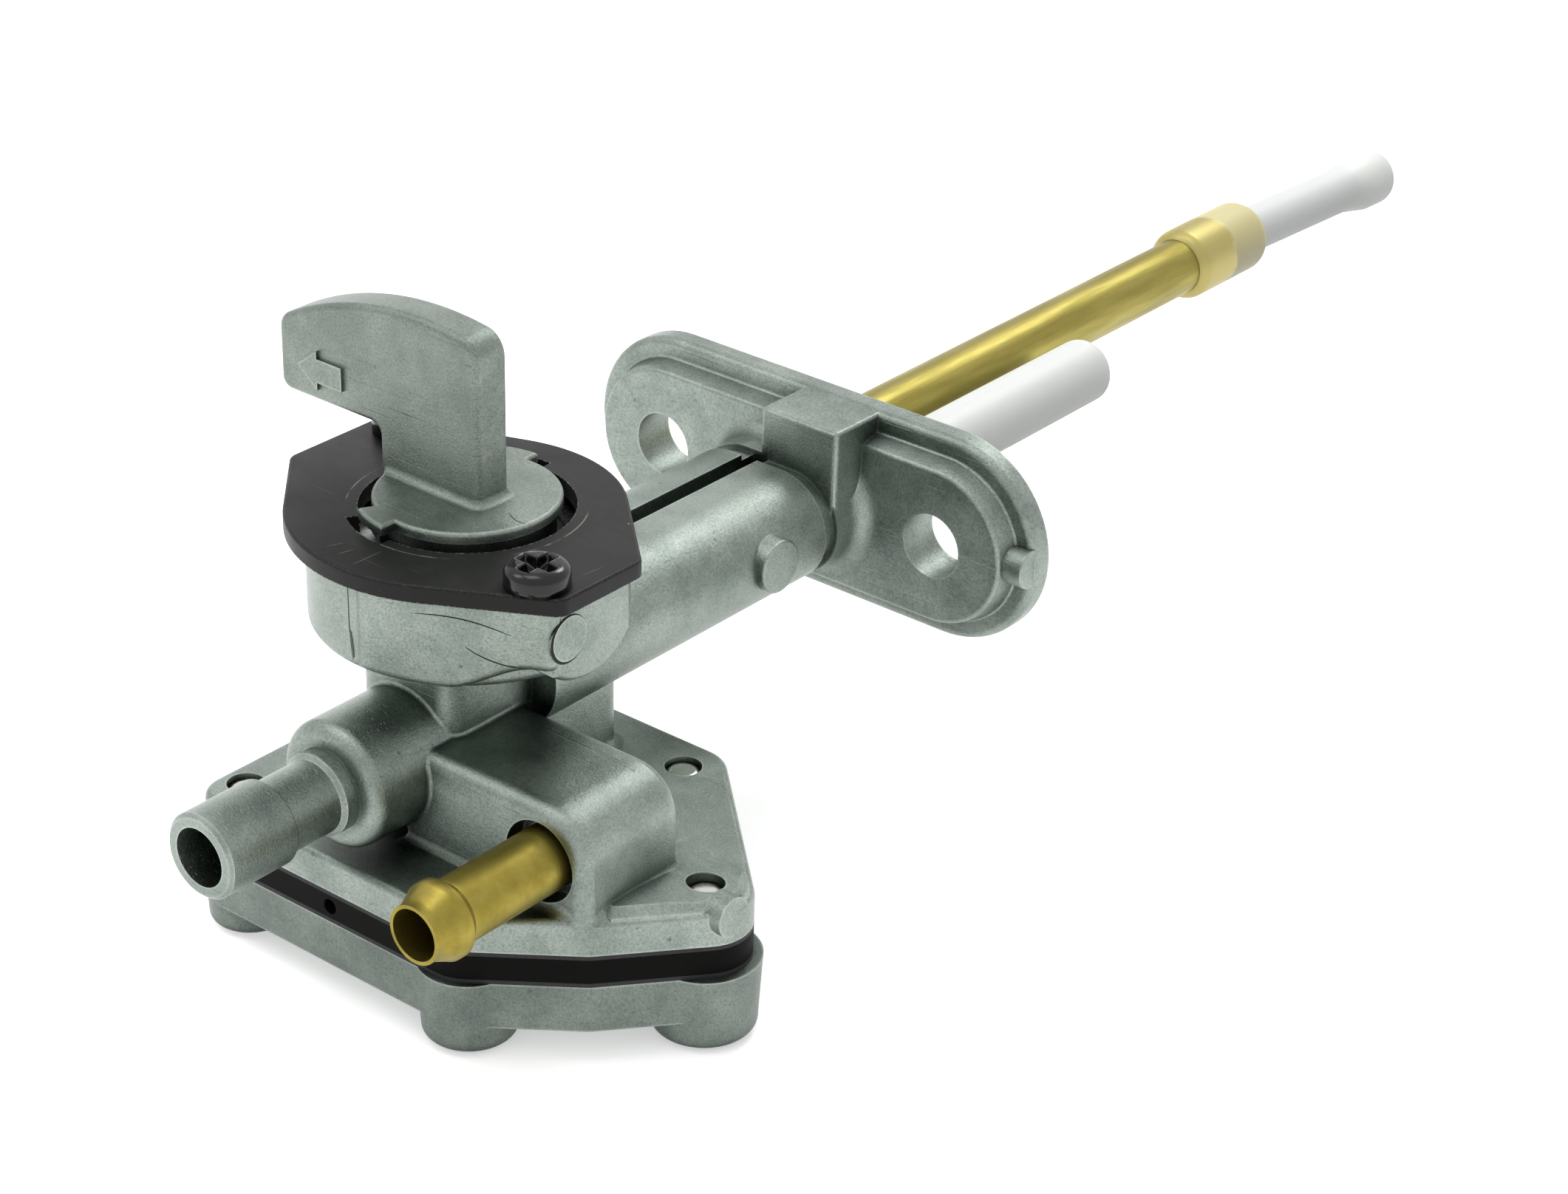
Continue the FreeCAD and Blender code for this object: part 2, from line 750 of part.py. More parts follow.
def make_arrow():
    """The raised arrow on the fin's front face."""
    front = lever_axis_y - fin_thickness / 2
    outline = [
        (arrow_tip_x, 0),
        (arrow_head_x, arrow_half_head),
        (arrow_head_x, arrow_half_shaft),
        (arrow_tail_x, arrow_half_shaft),
        (arrow_tail_x, -arrow_half_shaft),
        (arrow_head_x, -arrow_half_shaft),
        (arrow_head_x, -arrow_half_head),
    ]
    points = [vec(x, front - arrow_relief, plate_top + arrow_z + z) for x, z in outline]
    return Part.Face(Part.makePolygon(points + [points[0]])).extrude(vec(0, arrow_relief + 0.5, 0))


def make_lever():
    """Fin, disc, lugs, hub and the rotor that turns on the gasket."""
    disc_top = plate_top + lever_disc_rise
    disc_bottom = disc_top - lever_disc_thickness
    disc = rod_z(lever_disc_radius, disc_bottom, disc_top, 0, 0)
    hub = rod_z(lever_hub_radius, rotor_top - 0.5, disc_bottom + 0.5, 0, 0)
    rotor = rod_z(rotor_radius, rotor_bottom, rotor_top, 0, 0)
    body = disc.fuse([hub, rotor])
    for sign in (-1, 1):
        start = sign * lug_angle - lug_sweep / 2
        body = body.fuse(sector(lever_hub_radius - 1, lug_radius, start, lug_sweep, disc_bottom, disc_top))
    body = soften(body.removeSplitter(), 0.4, flat_at(2, disc_top))
    body = body.fuse(make_lever_fin()).removeSplitter()
    reach = lever_disc_radius
    body = blend(body, fin_root_fillet, (-reach, lever_axis_y - reach, disc_top - 0.01),
                 (reach, lever_axis_y + reach, disc_top + 0.01))
    body = body.fuse(make_arrow())
    middle = (rotor_bottom + rotor_top) / 2
    groove_floor = cavity_radius - ring_play - 2 * lever_ring_section
    half = lever_ring_section + 0.1
    groove = rod_z(cavity_radius, middle - half, middle + half, 0, 0)
    groove = groove.cut(rod_z(groove_floor, middle - half, middle + half, 0, 0))
    channel = sector(port_circle - channel_half_width, port_circle + channel_half_width,
                     135, 90, rotor_bottom - 1, rotor_bottom + channel_depth)
    ends = [rod_z(channel_half_width, rotor_bottom - 1, rotor_bottom + channel_depth, -port_offset, y)
            for y in (-port_offset, port_offset)]
    return body.cut([groove, channel] + ends).removeSplitter()


def make_lever_ring():
    middle = (rotor_bottom + rotor_top) / 2
    circle = cavity_radius - ring_play - lever_ring_section
    return Part.makeTorus(circle, lever_ring_section, vec(0, lever_axis_y, middle), vec(0, 0, 1))


def make_retainer_plate():
    outline = belt(plate_circles(0.0, plate_front_round, plate_back_round), housing_top)
    plate = Part.Face(outline).extrude(vec(0, 0, plate_thickness))
    plate = soften(plate, 0.3, flat_at(2, plate_top))
    cuts = [rod_z(plate_opening, housing_top - 1, plate_top + 1, 0, 0)]
    sweep = lug_sweep + 8
    for sign in (-1, 1):
        cuts.append(sector(plate_opening - 1, plate_opening + plate_notch_reach,
                           sign * lug_angle - sweep / 2, sweep, housing_top - 1, plate_top + 1))
        cuts.append(rod_z(small_thread_radius + screw_hole_play, housing_top - 1, plate_top + 1,
                          sign * plate_screw_x, sign * plate_screw_y))
    return plate.cut(cuts)


def cross_recess(width, depth, z, x, y, down):
    """Two crossed tapered slots, cut into a screw head at z."""
    shapes = []
    for turn in (0, 90):
        wide, narrow = width / 2, width / 5
        points = [(-wide, 0), (wide, 0), (narrow, depth), (-narrow, depth)]
        wire = Part.makePolygon([vec(px, -width / 6.5, down * pz) for px, pz in points + points[:1]])
        slot = Part.Face(wire).extrude(vec(0, width / 3.25, 0))
        slot.rotate(vec(0, 0, 0), vec(0, 0, 1), turn)
        slot.translate(vec(x, y + lever_axis_y, z))
        shapes.append(slot)
    return shapes[0].fuse(shapes[1])


def make_retainer_screw(x, y):
    """A pan head screw that enters from above."""
    head = rod_z(small_head_radius, plate_top, plate_top + small_head_height, x, y)
    head = soften(head, 0.8, flat_at(2, plate_top + small_head_height))
    shank = rod_z(small_thread_radius - press_play, housing_top - small_screw_length, plate_top, x, y)
    recess = cross_recess(small_recess_width, small_recess_depth, plate_top + small_head_height, x, y, -1)
    return head.fuse(shank).cut(recess).removeSplitter()


def make_cover_screw(x, y):
    """A pan head screw that enters from below."""
    bottom = head_seat_z - screw_head_height
    head = rod_z(screw_head_radius, bottom, head_seat_z, x, y)
    head = soften(head, 0.6, flat_at(2, bottom))
    shank = rod_z(base_screw_radius - press_play, head_seat_z, base_top - screw_end_depth, x, y)
    shank = soften(shank, screw_end_round, flat_at(2, base_top - screw_end_depth))
    recess = cross_recess(3.8, 1.4, bottom, x, y, 1)
    return head.fuse(shank).cut(recess).removeSplitter()


def make_wave_washer():
    """A thin ring that rises and falls three times round, lofted through radial sections."""
    low = rotor_top + face_gap
    high = housing_top - face_gap - washer_gauge
    middle, swing = (low + high) / 2, (high - low) / 2
    sections = []
    steps = 8 * washer_waves
    for i in range(steps):
        angle = 2 * math.pi * i / steps
        z = middle + swing * math.cos(washer_waves * angle)
        points = []
        for radius, height in ((washer_inner, 0), (washer_outer, 0),
                               (washer_outer, washer_gauge), (washer_inner, washer_gauge)):
            points.append(vec(radius * math.cos(angle), lever_axis_y + radius * math.sin(angle), z + height))
        sections.append(Part.makePolygon(points + [points[0]]))
    return Part.makeLoft(sections, True, False, True)


def make_valve_gasket():
    disc = rod_z(gasket_radius, floor_z, gasket_top, 0, 0)
    holes = [rod_z(gasket_hole_radius, floor_z - 1, gasket_top + 1, sx * port_offset, sy * port_offset)
             for sx in (-1, 1) for sy in (-1, 1)]
    return disc.cut(holes)


def make_flange_ring():
    y = -flange_groove_depth + flange_ring_section
    return Part.makeTorus(flange_ring_radius, flange_ring_section, vec(0, y, 0), vec(0, 1, 0))


def make_standpipe():
    tube = rod_y(standpipe_radius, -standpipe_seat, standpipe_reach, -passage_x, 0)
    bore = rod_y(standpipe_radius - standpipe_wall, -standpipe_seat - 1, standpipe_reach + 1, -passage_x, 0)
    return tube.cut(bore)


def make_main_strainer():
    """A collar that slips over the standpipe, and a closed strainer tube that leans down a little."""
    collar_end = collar_cap_start + collar_cap_length
    cap = rod_y(collar_cap_radius, collar_cap_start, collar_end, -passage_x, 0)
    cap = soften(cap, collar_cap_round, lambda edge: flat_at(1, collar_cap_start)(edge)
                 or flat_at(1, collar_end)(edge))
    tube_end = collar_end + strainer_length
    bulb_start = tube_end - bulb_length
    profile = [
        (0, collar_end - 3),
        (strainer_radius, collar_end - 3),
        (strainer_radius, bulb_start),
        (bulb_radius, bulb_start + bulb_length / 2),
        (bulb_radius, tube_end),
        (0, tube_end),
    ]
    tube = turned_y(profile, -passage_x, 0)
    tube = soften(tube, 1.4, flat_at(1, tube_end))
    hollow = rod_y(strainer_radius - strainer_wall, collar_end - 4, bulb_start + 2, -passage_x, 0)
    pivot = vec(-passage_x, collar_end, 0)
    for piece in (tube, hollow):
        piece.rotate(pivot, vec(1, 0, 0), -strainer_droop)
    socket = rod_y(standpipe_radius + press_play, collar_cap_start - 1, standpipe_reach + press_play,
                   -passage_x, 0)
    throat = rod_y(strainer_radius - strainer_wall, standpipe_reach - 1, collar_end - 2, -passage_x, 0)
    return cap.fuse(tube).cut([socket, throat, hollow]).removeSplitter()


def make_reserve_strainer():
    """A closed tube with a plug end that is pressed into the reserve passage."""
    tube = rod_y(reserve_radius, 0, reserve_reach, passage_x, 0)
    tube = soften(tube, 1.5, flat_at(1, reserve_reach))
    plug = rod_y(reserve_plug_radius, -reserve_seat, 0, passage_x, 0)
    hollow = rod_y(reserve_plug_radius - strainer_wall, -reserve_seat - 1, reserve_reach - 2, passage_x, 0)
    return tube.fuse(plug).cut(hollow).removeSplitter()


def make_vacuum_nipple():
    """A turned brass nipple: mouth, bead, and a plain barrel pressed into the boss."""
    mouth = nipple_face - nipple_length
    back = nipple_face + counterbore_depth + nipple_seat - 0.5
    outer = [
        (nipple_mouth_radius, mouth),
        (nipple_mouth_radius, mouth + 0.8),
        (nipple_mouth_radius + 0.25, mouth + 1.3),
        (nipple_bead_radius - 0.25, mouth + 2.2),
        (nipple_bead_radius, mouth + 2.7),
        (nipple_bead_radius, mouth + 3.5),
        (nipple_radius + 0.15, mouth + 4.1),
        (nipple_radius - 0.1, mouth + 4.4),
        (nipple_radius, mouth + 4.8),
        (nipple_radius, back),
    ]
    bore = nipple_radius - nipple_wall
    inner = [(bore, back), (bore, mouth + 4.0), (nipple_mouth_radius - 0.35, mouth + 2.0),
             (nipple_mouth_radius - 0.35, mouth)]
    return turned_y(outer + inner, nipple_x, nipple_z)


def make_diaphragm(top, vacuum_hole):
    """A rubber sheet with a ring-shaped fold that hangs down so that its middle can move."""
    bottom = top - diaphragm_gauge
    sheet = belt_plate(bottom, top)
    inner = convolution_radius - convolution_half_width
    outer = convolution_radius + convolution_half_width
    low = convolution_height

    def fold(z):
        return [(inner, z), (convolution_radius - convolution_half_width / 2, z - low * 0.75),
                (convolution_radius, z - low), (convolution_radius + convolution_half_width / 2, z - low * 0.75),
                (outer, z)]

    ring = turned_z(fold(top) + [(outer, bottom)] + fold(bottom)[::-1][1:])
    slot = rod_z(outer, bottom - 0.1, top + 0.1, 0, 0).cut(rod_z(inner, bottom - 0.1, top + 0.1, 0, 0))
    sheet = sheet.cut(slot).fuse(ring)
    cuts = [rod_z(stem_radius + stem_play, bottom - 1, top + 1, 0, 0)]
    for x, y in screw_places:
        cuts.append(rod_z(base_screw_radius + screw_hole_play, bottom - 1, top + 1, x, y))
    if vacuum_hole:
        cuts.append(rod_z(vacuum_passage_radius, bottom - 1, top + 1, *vacuum_passage))
    return sheet.cut(cuts).removeSplitter()


def make_spacer():
    """The black ring between the two diaphragms, open to the air through a side vent."""
    plate = belt_plate(spacer_bottom, fuel_sheet_bottom)
    cuts = [rod_z(chamber_radius, spacer_bottom - 1, fuel_sheet_bottom + 1, 0, 0)]
    for x, y in screw_places:
        cuts.append(rod_z(base_screw_radius + screw_hole_play, spacer_bottom - 1, fuel_sheet_bottom + 1, x, y))
    cuts.append(rod_z(vacuum_passage_radius, spacer_bottom - 1, fuel_sheet_bottom + 1, *vacuum_passage))
    middle = (spacer_bottom + fuel_sheet_bottom) / 2
    cuts.append(rod_y(vent_radius, lever_axis_y - base_front - 1, lever_axis_y, 0, middle))
    return plate.cut(cuts)


def make_cover():
    """The lower casting: a drafted wall with a seam, five screw bosses and the spring pocket."""
    seam = cover_top - cover_seam
    circles = base_circles()
    upper = Part.makeLoft([belt(circles, cover_top), belt(circles, seam, cover_bulge)], True, True)
    lower = Part.makeLoft([belt(circles, seam, cover_bulge), belt(circles, cover_bottom)], True, True)
    dome = rod_z(spring_pocket_radius + cover_wall, pocket_floor - cover_wall, cover_bottom + 1, 0, 0)
    dome = soften(dome, boss_end_round, flat_at(2, pocket_floor - cover_wall))
    bosses = []
    for x, y in screw_places:
        radius = cover_boss_radius
        if x < 0:
            radius = cover_left_boss_radius
        if x == tip_screw_x:
            radius = cover_tip_boss_radius
        boss = turned_z([(0, foot_z), (radius, foot_z), (radius + cover_boss_draft, cover_top), (0, cover_top)],
                        x, y)
        bosses.append(soften(boss, boss_end_round, flat_at(2, foot_z)))
    cover = upper.fuse([lower, dome] + bosses)
    cuts = [rod_z(chamber_radius, recess_floor, cover_top + 1, 0, 0),
            rod_z(spring_pocket_radius, pocket_floor, recess_floor + 1, 0, 0)]
    for x, y in screw_places:
        cuts.append(rod_z(base_screw_radius + screw_hole_play, foot_z - 1, cover_top + 1, x, y))
        cuts.append(rod_z(screw_head_radius + head_pocket_play, foot_z - 1, head_seat_z, x, y))
    channel_x, channel_y = vacuum_passage
    cuts.append(block(chamber_radius - 2, channel_x, lever_axis_y + channel_y - vacuum_passage_radius,
                      lever_axis_y + channel_y + vacuum_passage_radius, cover_top - 1.2, cover_top + 1))
    cuts.append(rod_z(vacuum_passage_radius, cover_top - 1.2, cover_top + 1, channel_x, channel_y))
    return cover.cut(cuts).removeSplitter()


def make_plunger():
    """The valve stem: nose and flange for the seal, a shoulder, and the stem below it."""
    seal_bottom = seat_z - face_gap - 2 * seal_section
    head_bottom = seal_bottom - plunger_head_thickness
    shoulder = base_bottom + side_plate_gauge
    end = spring_top - clip_thickness - 0.3
    profile = [
        (0, end), (stem_radius, end), (stem_radius, shoulder), (plunger_shoulder_radius, shoulder),
        (plunger_shoulder_radius, head_bottom), (plunger_head_radius, head_bottom),
        (plunger_head_radius, seal_bottom), (plunger_nose_radius, seal_bottom),
        (plunger_nose_radius, seat_z - face_gap - 0.3), (0, seat_z - face_gap - 0.3),
    ]
    return turned_z(profile)


def make_plunger_ring():
    centre = seat_z - face_gap - seal_section
    return Part.makeTorus(seal_circle, seal_section, vec(0, lever_axis_y, centre), vec(0, 0, 1))


def washer(outer, bottom, top):
    return rod_z(outer, bottom, top, 0, 0).cut(rod_z(stem_radius + stem_play, bottom - 1, top + 1, 0, 0))


def make_spring_cup():
    disc = washer(side_plate_radius, spring_top, cover_top)
    rim = rod_z(cup_rim_outer, spring_top - cup_rim_height, spring_top, 0, 0)
    rim = rim.cut(rod_z(cup_rim_inner, spring_top - cup_rim_height, spring_top, 0, 0))
    return disc.fuse(rim).removeSplitter()


def make_spring():
    """A round-wire coil that pushes the plunger up against its seat, lofted through its turns."""
    low = pocket_floor + spring_wire + face_gap
    rise = spring_top - spring_wire - face_gap - low
    steps = int(round(12 * spring_turns))
    slope = math.atan2(rise, 2 * math.pi * spring_radius * spring_turns)
    sections = []
    for i in range(steps + 1):
        angle = 2 * math.pi * spring_turns * i / steps
        centre = vec(spring_radius * math.cos(angle), lever_axis_y + spring_radius * math.sin(angle),
                     low + rise * i / steps)
        heading = vec(-math.sin(angle) * math.cos(slope), math.cos(angle) * math.cos(slope),
                      math.sin(slope))
        outward = vec(math.cos(angle), math.sin(angle), 0)
        circle = Part.Circle(FreeCAD.Vector(centre), heading, spring_wire)
        circle.XAxis = outward
        sections.append(Part.Wire([circle.toShape()]))
    return Part.makeLoft(sections, True, False)


pieces = {
    "valve_body": make_valve_body(),
    "lever": make_lever(),
    "lever_o_ring": make_lever_ring(),
    "retainer_plate": make_retainer_plate(),
    "retainer_screws": Part.Compound([make_retainer_screw(sign * plate_screw_x, sign * plate_screw_y)
                                      for sign in (1, -1)]),
    "wave_washer": make_wave_washer(),
    "valve_gasket": make_valve_gasket(),
    "flange_o_ring": make_flange_ring(),
    "standpipe": make_standpipe(),
    "main_strainer": make_main_strainer(),
    "reserve_strainer": make_reserve_strainer(),
    "vacuum_nipple": make_vacuum_nipple(),
    "fuel_diaphragm": make_diaphragm(base_bottom, True),
    "diaphragm_spacer": make_spacer(),
    "vacuum_diaphragm": make_diaphragm(spacer_bottom, True),
    "diaphragm_cover": make_cover(),
    "cover_screws": Part.Compound([make_cover_screw(x, y) for x, y in screw_places]),
    "plunger": make_plunger(),
    "plunger_o_ring": make_plunger_ring(),
    "fuel_side_plate": washer(side_plate_radius, base_bottom, base_bottom + side_plate_gauge),
    "diaphragm_collar": washer(centre_collar_radius, spacer_bottom, fuel_sheet_bottom),
    "spring_cup": make_spring_cup(),
    "stem_clip": washer(clip_radius, spring_top - clip_thickness, spring_top),
    "diaphragm_spring": make_spring(),
}

os.makedirs("parts", exist_ok=True)
for name, shape in pieces.items():
    solids = shape.Solids
    print(name, "solids", len(solids), "volume", round(shape.Volume, 1), "valid", shape.isValid())
    shape.exportStep(os.path.join("parts", name + ".step"))
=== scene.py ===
# %% [markdown]
# # A vacuum fuel tap
# The tap is a die casting that bolts under a tank. This notebook dresses its CAD solids: it
# gives each one a finish, and adds what a drawing leaves out, such as the rounded foot of a
# cast wall, the parting line, scratches and screw recesses. Lengths are written in millimetres
# and turned into metres by one factor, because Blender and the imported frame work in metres.

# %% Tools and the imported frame
import json
import math

import bpy
import numpy as np
from mathutils import Matrix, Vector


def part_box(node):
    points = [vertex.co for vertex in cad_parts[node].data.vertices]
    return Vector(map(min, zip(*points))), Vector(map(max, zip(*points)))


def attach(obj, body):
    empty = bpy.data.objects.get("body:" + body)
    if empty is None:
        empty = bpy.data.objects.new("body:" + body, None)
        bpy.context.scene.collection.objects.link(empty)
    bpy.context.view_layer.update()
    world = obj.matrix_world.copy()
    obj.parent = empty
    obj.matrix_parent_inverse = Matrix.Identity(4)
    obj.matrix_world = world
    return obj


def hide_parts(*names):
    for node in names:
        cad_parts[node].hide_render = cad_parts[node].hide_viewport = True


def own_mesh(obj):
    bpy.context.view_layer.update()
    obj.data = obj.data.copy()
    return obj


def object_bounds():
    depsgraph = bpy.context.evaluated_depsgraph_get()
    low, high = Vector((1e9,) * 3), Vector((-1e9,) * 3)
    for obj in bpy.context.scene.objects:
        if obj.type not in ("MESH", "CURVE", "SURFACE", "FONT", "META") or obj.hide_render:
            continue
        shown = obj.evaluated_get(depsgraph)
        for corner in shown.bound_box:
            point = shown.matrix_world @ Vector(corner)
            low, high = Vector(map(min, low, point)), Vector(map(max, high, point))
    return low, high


MM = 0.001
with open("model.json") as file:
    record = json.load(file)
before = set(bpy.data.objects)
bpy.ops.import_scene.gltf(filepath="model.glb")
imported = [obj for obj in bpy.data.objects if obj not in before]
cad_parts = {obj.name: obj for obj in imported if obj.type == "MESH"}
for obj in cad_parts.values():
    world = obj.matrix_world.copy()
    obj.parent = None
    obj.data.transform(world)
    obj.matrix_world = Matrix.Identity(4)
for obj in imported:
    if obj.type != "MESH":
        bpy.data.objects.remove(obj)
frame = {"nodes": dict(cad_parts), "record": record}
cad_low, cad_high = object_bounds()
print("CAD box in mm:", [round(v / MM, 1) for v in (*cad_low, *cad_high)])


# %% [markdown]
# ## Places taken from the solids
# A node's box gives the lever's axis, the top of the retainer plate and the ends of the pipe
# and its strainer, so a changed part moves most of its dressing too. The few CAD sizes that no
# box gives, such as the radius of the lever's housing, are named where they are used.

# %% Named places
def node_box(name):
    """The lowest and highest corner of a CAD node, in millimetres."""
    low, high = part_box(name)
    return np.array(low) / MM, np.array(high) / MM


ring_low, ring_high = node_box("lever_o_ring")
axis_x = (ring_low[0] + ring_high[0]) / 2
axis_y = (ring_low[1] + ring_high[1]) / 2
plate_top = node_box("retainer_plate")[1][2]
print("lever axis:", round(axis_x, 2), round(axis_y, 2), "plate top:", round(plate_top, 2))


# %% [markdown]
# ## Writing a material
# One helper adds a node, sets its values and makes its links. Colours are sRGB hex values,
# as a colour picker shows them, and one function turns them into the linear values that
# Cycles adds up.

# %% Colour and node helpers
def linear(code):
    """sRGB hex to linear RGBA: each channel goes through the sRGB curve."""
    channels = []
    for start in (0, 2, 4):
        value = int(code[start:start + 2], 16) / 255
        low_part = value / 12.92
        high_part = ((value + 0.055) / 1.055) ** 2.4
        channels.append(low_part if value <= 0.04045 else high_part)
    return (*channels, 1.0)


def add(tree, kind, values=None, links=None, stops=None, **settings):
    """Adds a node: values go on input sockets, links come from other nodes, stops fill a ramp."""
    made = tree.nodes.new(kind)
    for key, value in settings.items():
        setattr(made, key, value)
    for key, value in (values or {}).items():
        made.inputs[key].default_value = value
    for key, source in (links or {}).items():
        tree.links.new(source, made.inputs[key])
    for place, (position, colour) in enumerate(stops or []):
        band = made.color_ramp.elements
        element = band[place] if place < len(band) else band.new(position)
        element.position = position
        element.color = colour
    return made


def start_material(name):
    """An empty material: its tree, and Object coordinates in metres."""
    made = bpy.data.materials.new(name)
    made.use_nodes = True
    made.node_tree.nodes.clear()
    place = add(made.node_tree, "ShaderNodeTexCoord").outputs["Object"]
    return made, made.node_tree, place


def end_material(tree, shader):
    """Joins a shader to the material's output."""
    add(tree, "ShaderNodeOutputMaterial", links={"Surface": shader.outputs["BSDF"]})


def per_mm(size):
    """The scale that gives a noise feature of this size in millimetres."""
    return 1 / (size * MM)


# %% [markdown]
# ## Patterns that several finishes share
# Handling rubs the corners of metal and paint, and pits and specks are rare dots of different
# sizes. Both patterns are used by the alloy and by the black coats.

# %% Shared patterns
def rubbed_corners(tree, reach, sharpness):
    """1 where the surface turns within this reach in mm, 0 on flats: it compares two normals."""
    rounded = add(tree, "ShaderNodeBevel", {"Radius": reach * MM}, samples=4)
    flat = add(tree, "ShaderNodeNewGeometry")
    along = add(tree, "ShaderNodeVectorMath", links={0: rounded.outputs["Normal"],
                                                      1: flat.outputs["Normal"]},
                operation="DOT_PRODUCT")
    return add(tree, "ShaderNodeMapRange", {"From Min": 1.0, "From Max": 1.0 - sharpness},
               {"Value": along.outputs["Value"]}).outputs["Result"]


def rare_dots(tree, place, spacing, channel, rarity, largest):
    """1 inside a dot and 0 outside. Cells lie this many mm apart, and each has a random value.

    A cell whose value is over rarity holds a dot, with a radius that grows with the value up
    to largest, as a share of the spacing.
    """
    cell = add(tree, "ShaderNodeTexVoronoi", {"Scale": per_mm(spacing)}, {"Vector": place})
    chance = add(tree, "ShaderNodeSeparateColor", links={"Color": cell.outputs["Color"]})
    size = add(tree, "ShaderNodeMapRange", {"From Min": rarity, "From Max": 1.0,
                                             "To Min": 0.0, "To Max": largest},
               {"Value": chance.outputs[channel]})
    return add(tree, "ShaderNodeMath",
               links={0: cell.outputs["Distance"], 1: size.outputs["Result"]},
               operation="LESS_THAN").outputs[0]


# %% [markdown]
# ## Die-cast alloy
# The body, the cover and the lever are die cast, tumbled, and left bare. Such metal is grey
# with a faint green cast from its oxide. Its skin is satin, not flat: broad flow marks change
# how sharply it reflects, a fine grain makes it sparkle, small gas pits show as dark dots, and
# handling has scratched it. Where faces meet, ambient occlusion darkens the colour: painted
# shade, along with grime. Corners that get rubbed are cleaner, which a rounded normal finds. An
# image of the skin would do for one view only, so each of these is its own pattern in Object
# coordinates.

# %% Cast alloy
def fine_scratches(tree, place):
    """Below 0 in a scratch: noise drawn out along two slanted lines, kept only where it peaks."""
    depths = []
    for length, thin, turn in ((14, 0.3, (0.5, 0.3, 0.9)), (9, 0.2, (0.2, 0.9, -0.6))):
        slant = add(tree, "ShaderNodeMapping",
                    {"Scale": (per_mm(length), per_mm(thin), per_mm(thin)), "Rotation": turn},
                    {"Vector": place})
        streak = add(tree, "ShaderNodeTexNoise", {"Scale": 1.0, "Detail": 1.0},
                     {"Vector": slant.outputs[0]})
        kept = add(tree, "ShaderNodeMapRange", {"From Min": 0.69, "From Max": 0.76,
                                                 "To Min": 0.0, "To Max": -0.4},
                   {"Value": streak.outputs["Fac"]})
        depths.append(kept.outputs["Result"])
    both = add(tree, "ShaderNodeMath", links={0: depths[0], 1: depths[1]}, operation="ADD")
    return both.outputs[0]


def cast_alloy(name, clean, worn, rough_low=0.25, rough_high=0.4):
    """Bare die-cast metal from two hex tints and a roughness range."""
    made, tree, place = start_material(name)
    flow = add(tree, "ShaderNodeTexNoise", {"Scale": per_mm(7), "Detail": 6.0, "Roughness": 0.65},
               {"Vector": place})
    skin = add(tree, "ShaderNodeTexNoise",
               {"Scale": per_mm(0.22), "Detail": 4.0, "Roughness": 0.75}, {"Vector": place})
    tint = add(tree, "ShaderNodeValToRGB", links={"Fac": flow.outputs["Fac"]},
               stops=[(0.38, linear(worn)), (0.62, linear(clean))])
    # Sparkle: the grain is a little lighter and darker, as if each grain were tilted.
    sparkle = add(tree, "ShaderNodeValToRGB", links={"Fac": skin.outputs["Fac"]},
                  stops=[(0.3, linear("8b8d88")), (0.5, linear("d8dad6")), (0.7, linear("ffffff"))])
    grained = add(tree, "ShaderNodeMix", {0: 0.65},
                  {6: tint.outputs["Color"], 7: sparkle.outputs["Color"]},
                  data_type="RGBA", blend_type="MULTIPLY")
    # Gas pits: the grain shifts each point by a fraction of a millimetre, so they aren't round.
    warp = add(tree, "ShaderNodeVectorMath", {3: 0.6 * MM}, {0: skin.outputs["Color"]},
               operation="SCALE")
    moved = add(tree, "ShaderNodeVectorMath", links={0: place, 1: warp.outputs[0]}, operation="ADD")
    pit = rare_dots(tree, moved.outputs[0], 1.7, "Red", 0.7, 0.11)
    shade = add(tree, "ShaderNodeMath", {1: 0.6}, {0: pit}, operation="MULTIPLY")
    pitted = add(tree, "ShaderNodeMix", {7: linear("54564f")},
                 {0: shade.outputs[0], 6: grained.outputs[2]}, data_type="RGBA")
    # Painted shade: ambient occlusion darkens the colour where faces meet, for shade there along
    # with grime.
    corner = add(tree, "ShaderNodeAmbientOcclusion", {"Distance": 3.0 * MM}, samples=8)
    painted_corner_shade = add(tree, "ShaderNodeValToRGB", links={"Fac": corner.outputs["AO"]},
               stops=[(0.2, linear("2c2f2d")), (0.5, linear("959c98")), (0.8, linear("ffffff"))])
    corner_shaded = add(tree, "ShaderNodeMix", {0: 0.75}, {6: pitted.outputs[2], 7: painted_corner_shade.outputs["Color"]},
                data_type="RGBA", blend_type="MULTIPLY")
    edge = rubbed_corners(tree, 0.35, 0.12)
    patch = add(tree, "ShaderNodeMath", links={0: edge, 1: flow.outputs["Fac"]},
                operation="MULTIPLY")
    rubbed = add(tree, "ShaderNodeMix", {7: linear("c0c5c0")},
                 {0: patch.outputs[0], 6: corner_shaded.outputs[2]}, data_type="RGBA")
    rough = add(tree, "ShaderNodeMapRange", {"From Min": 0.3, "From Max": 0.7,
                                              "To Min": rough_low, "To Max": rough_high},
                {"Value": flow.outputs["Fac"]})
    height = add(tree, "ShaderNodeMath",
                 links={0: skin.outputs["Fac"], 1: fine_scratches(tree, place)}, operation="ADD")
    sunk = add(tree, "ShaderNodeMath", links={0: height.outputs[0], 1: pit}, operation="SUBTRACT")
    bump = add(tree, "ShaderNodeBump", {"Strength": 0.8, "Distance": 0.06 * MM},
               {"Height": sunk.outputs[0]})
    shader = add(tree, "ShaderNodeBsdfPrincipled", {"Metallic": 1.0},
                 {"Base Color": rubbed.outputs[2], "Roughness": rough.outputs["Result"],
                  "Normal": bump.outputs["Normal"]})
    end_material(tree, shader)
    return made


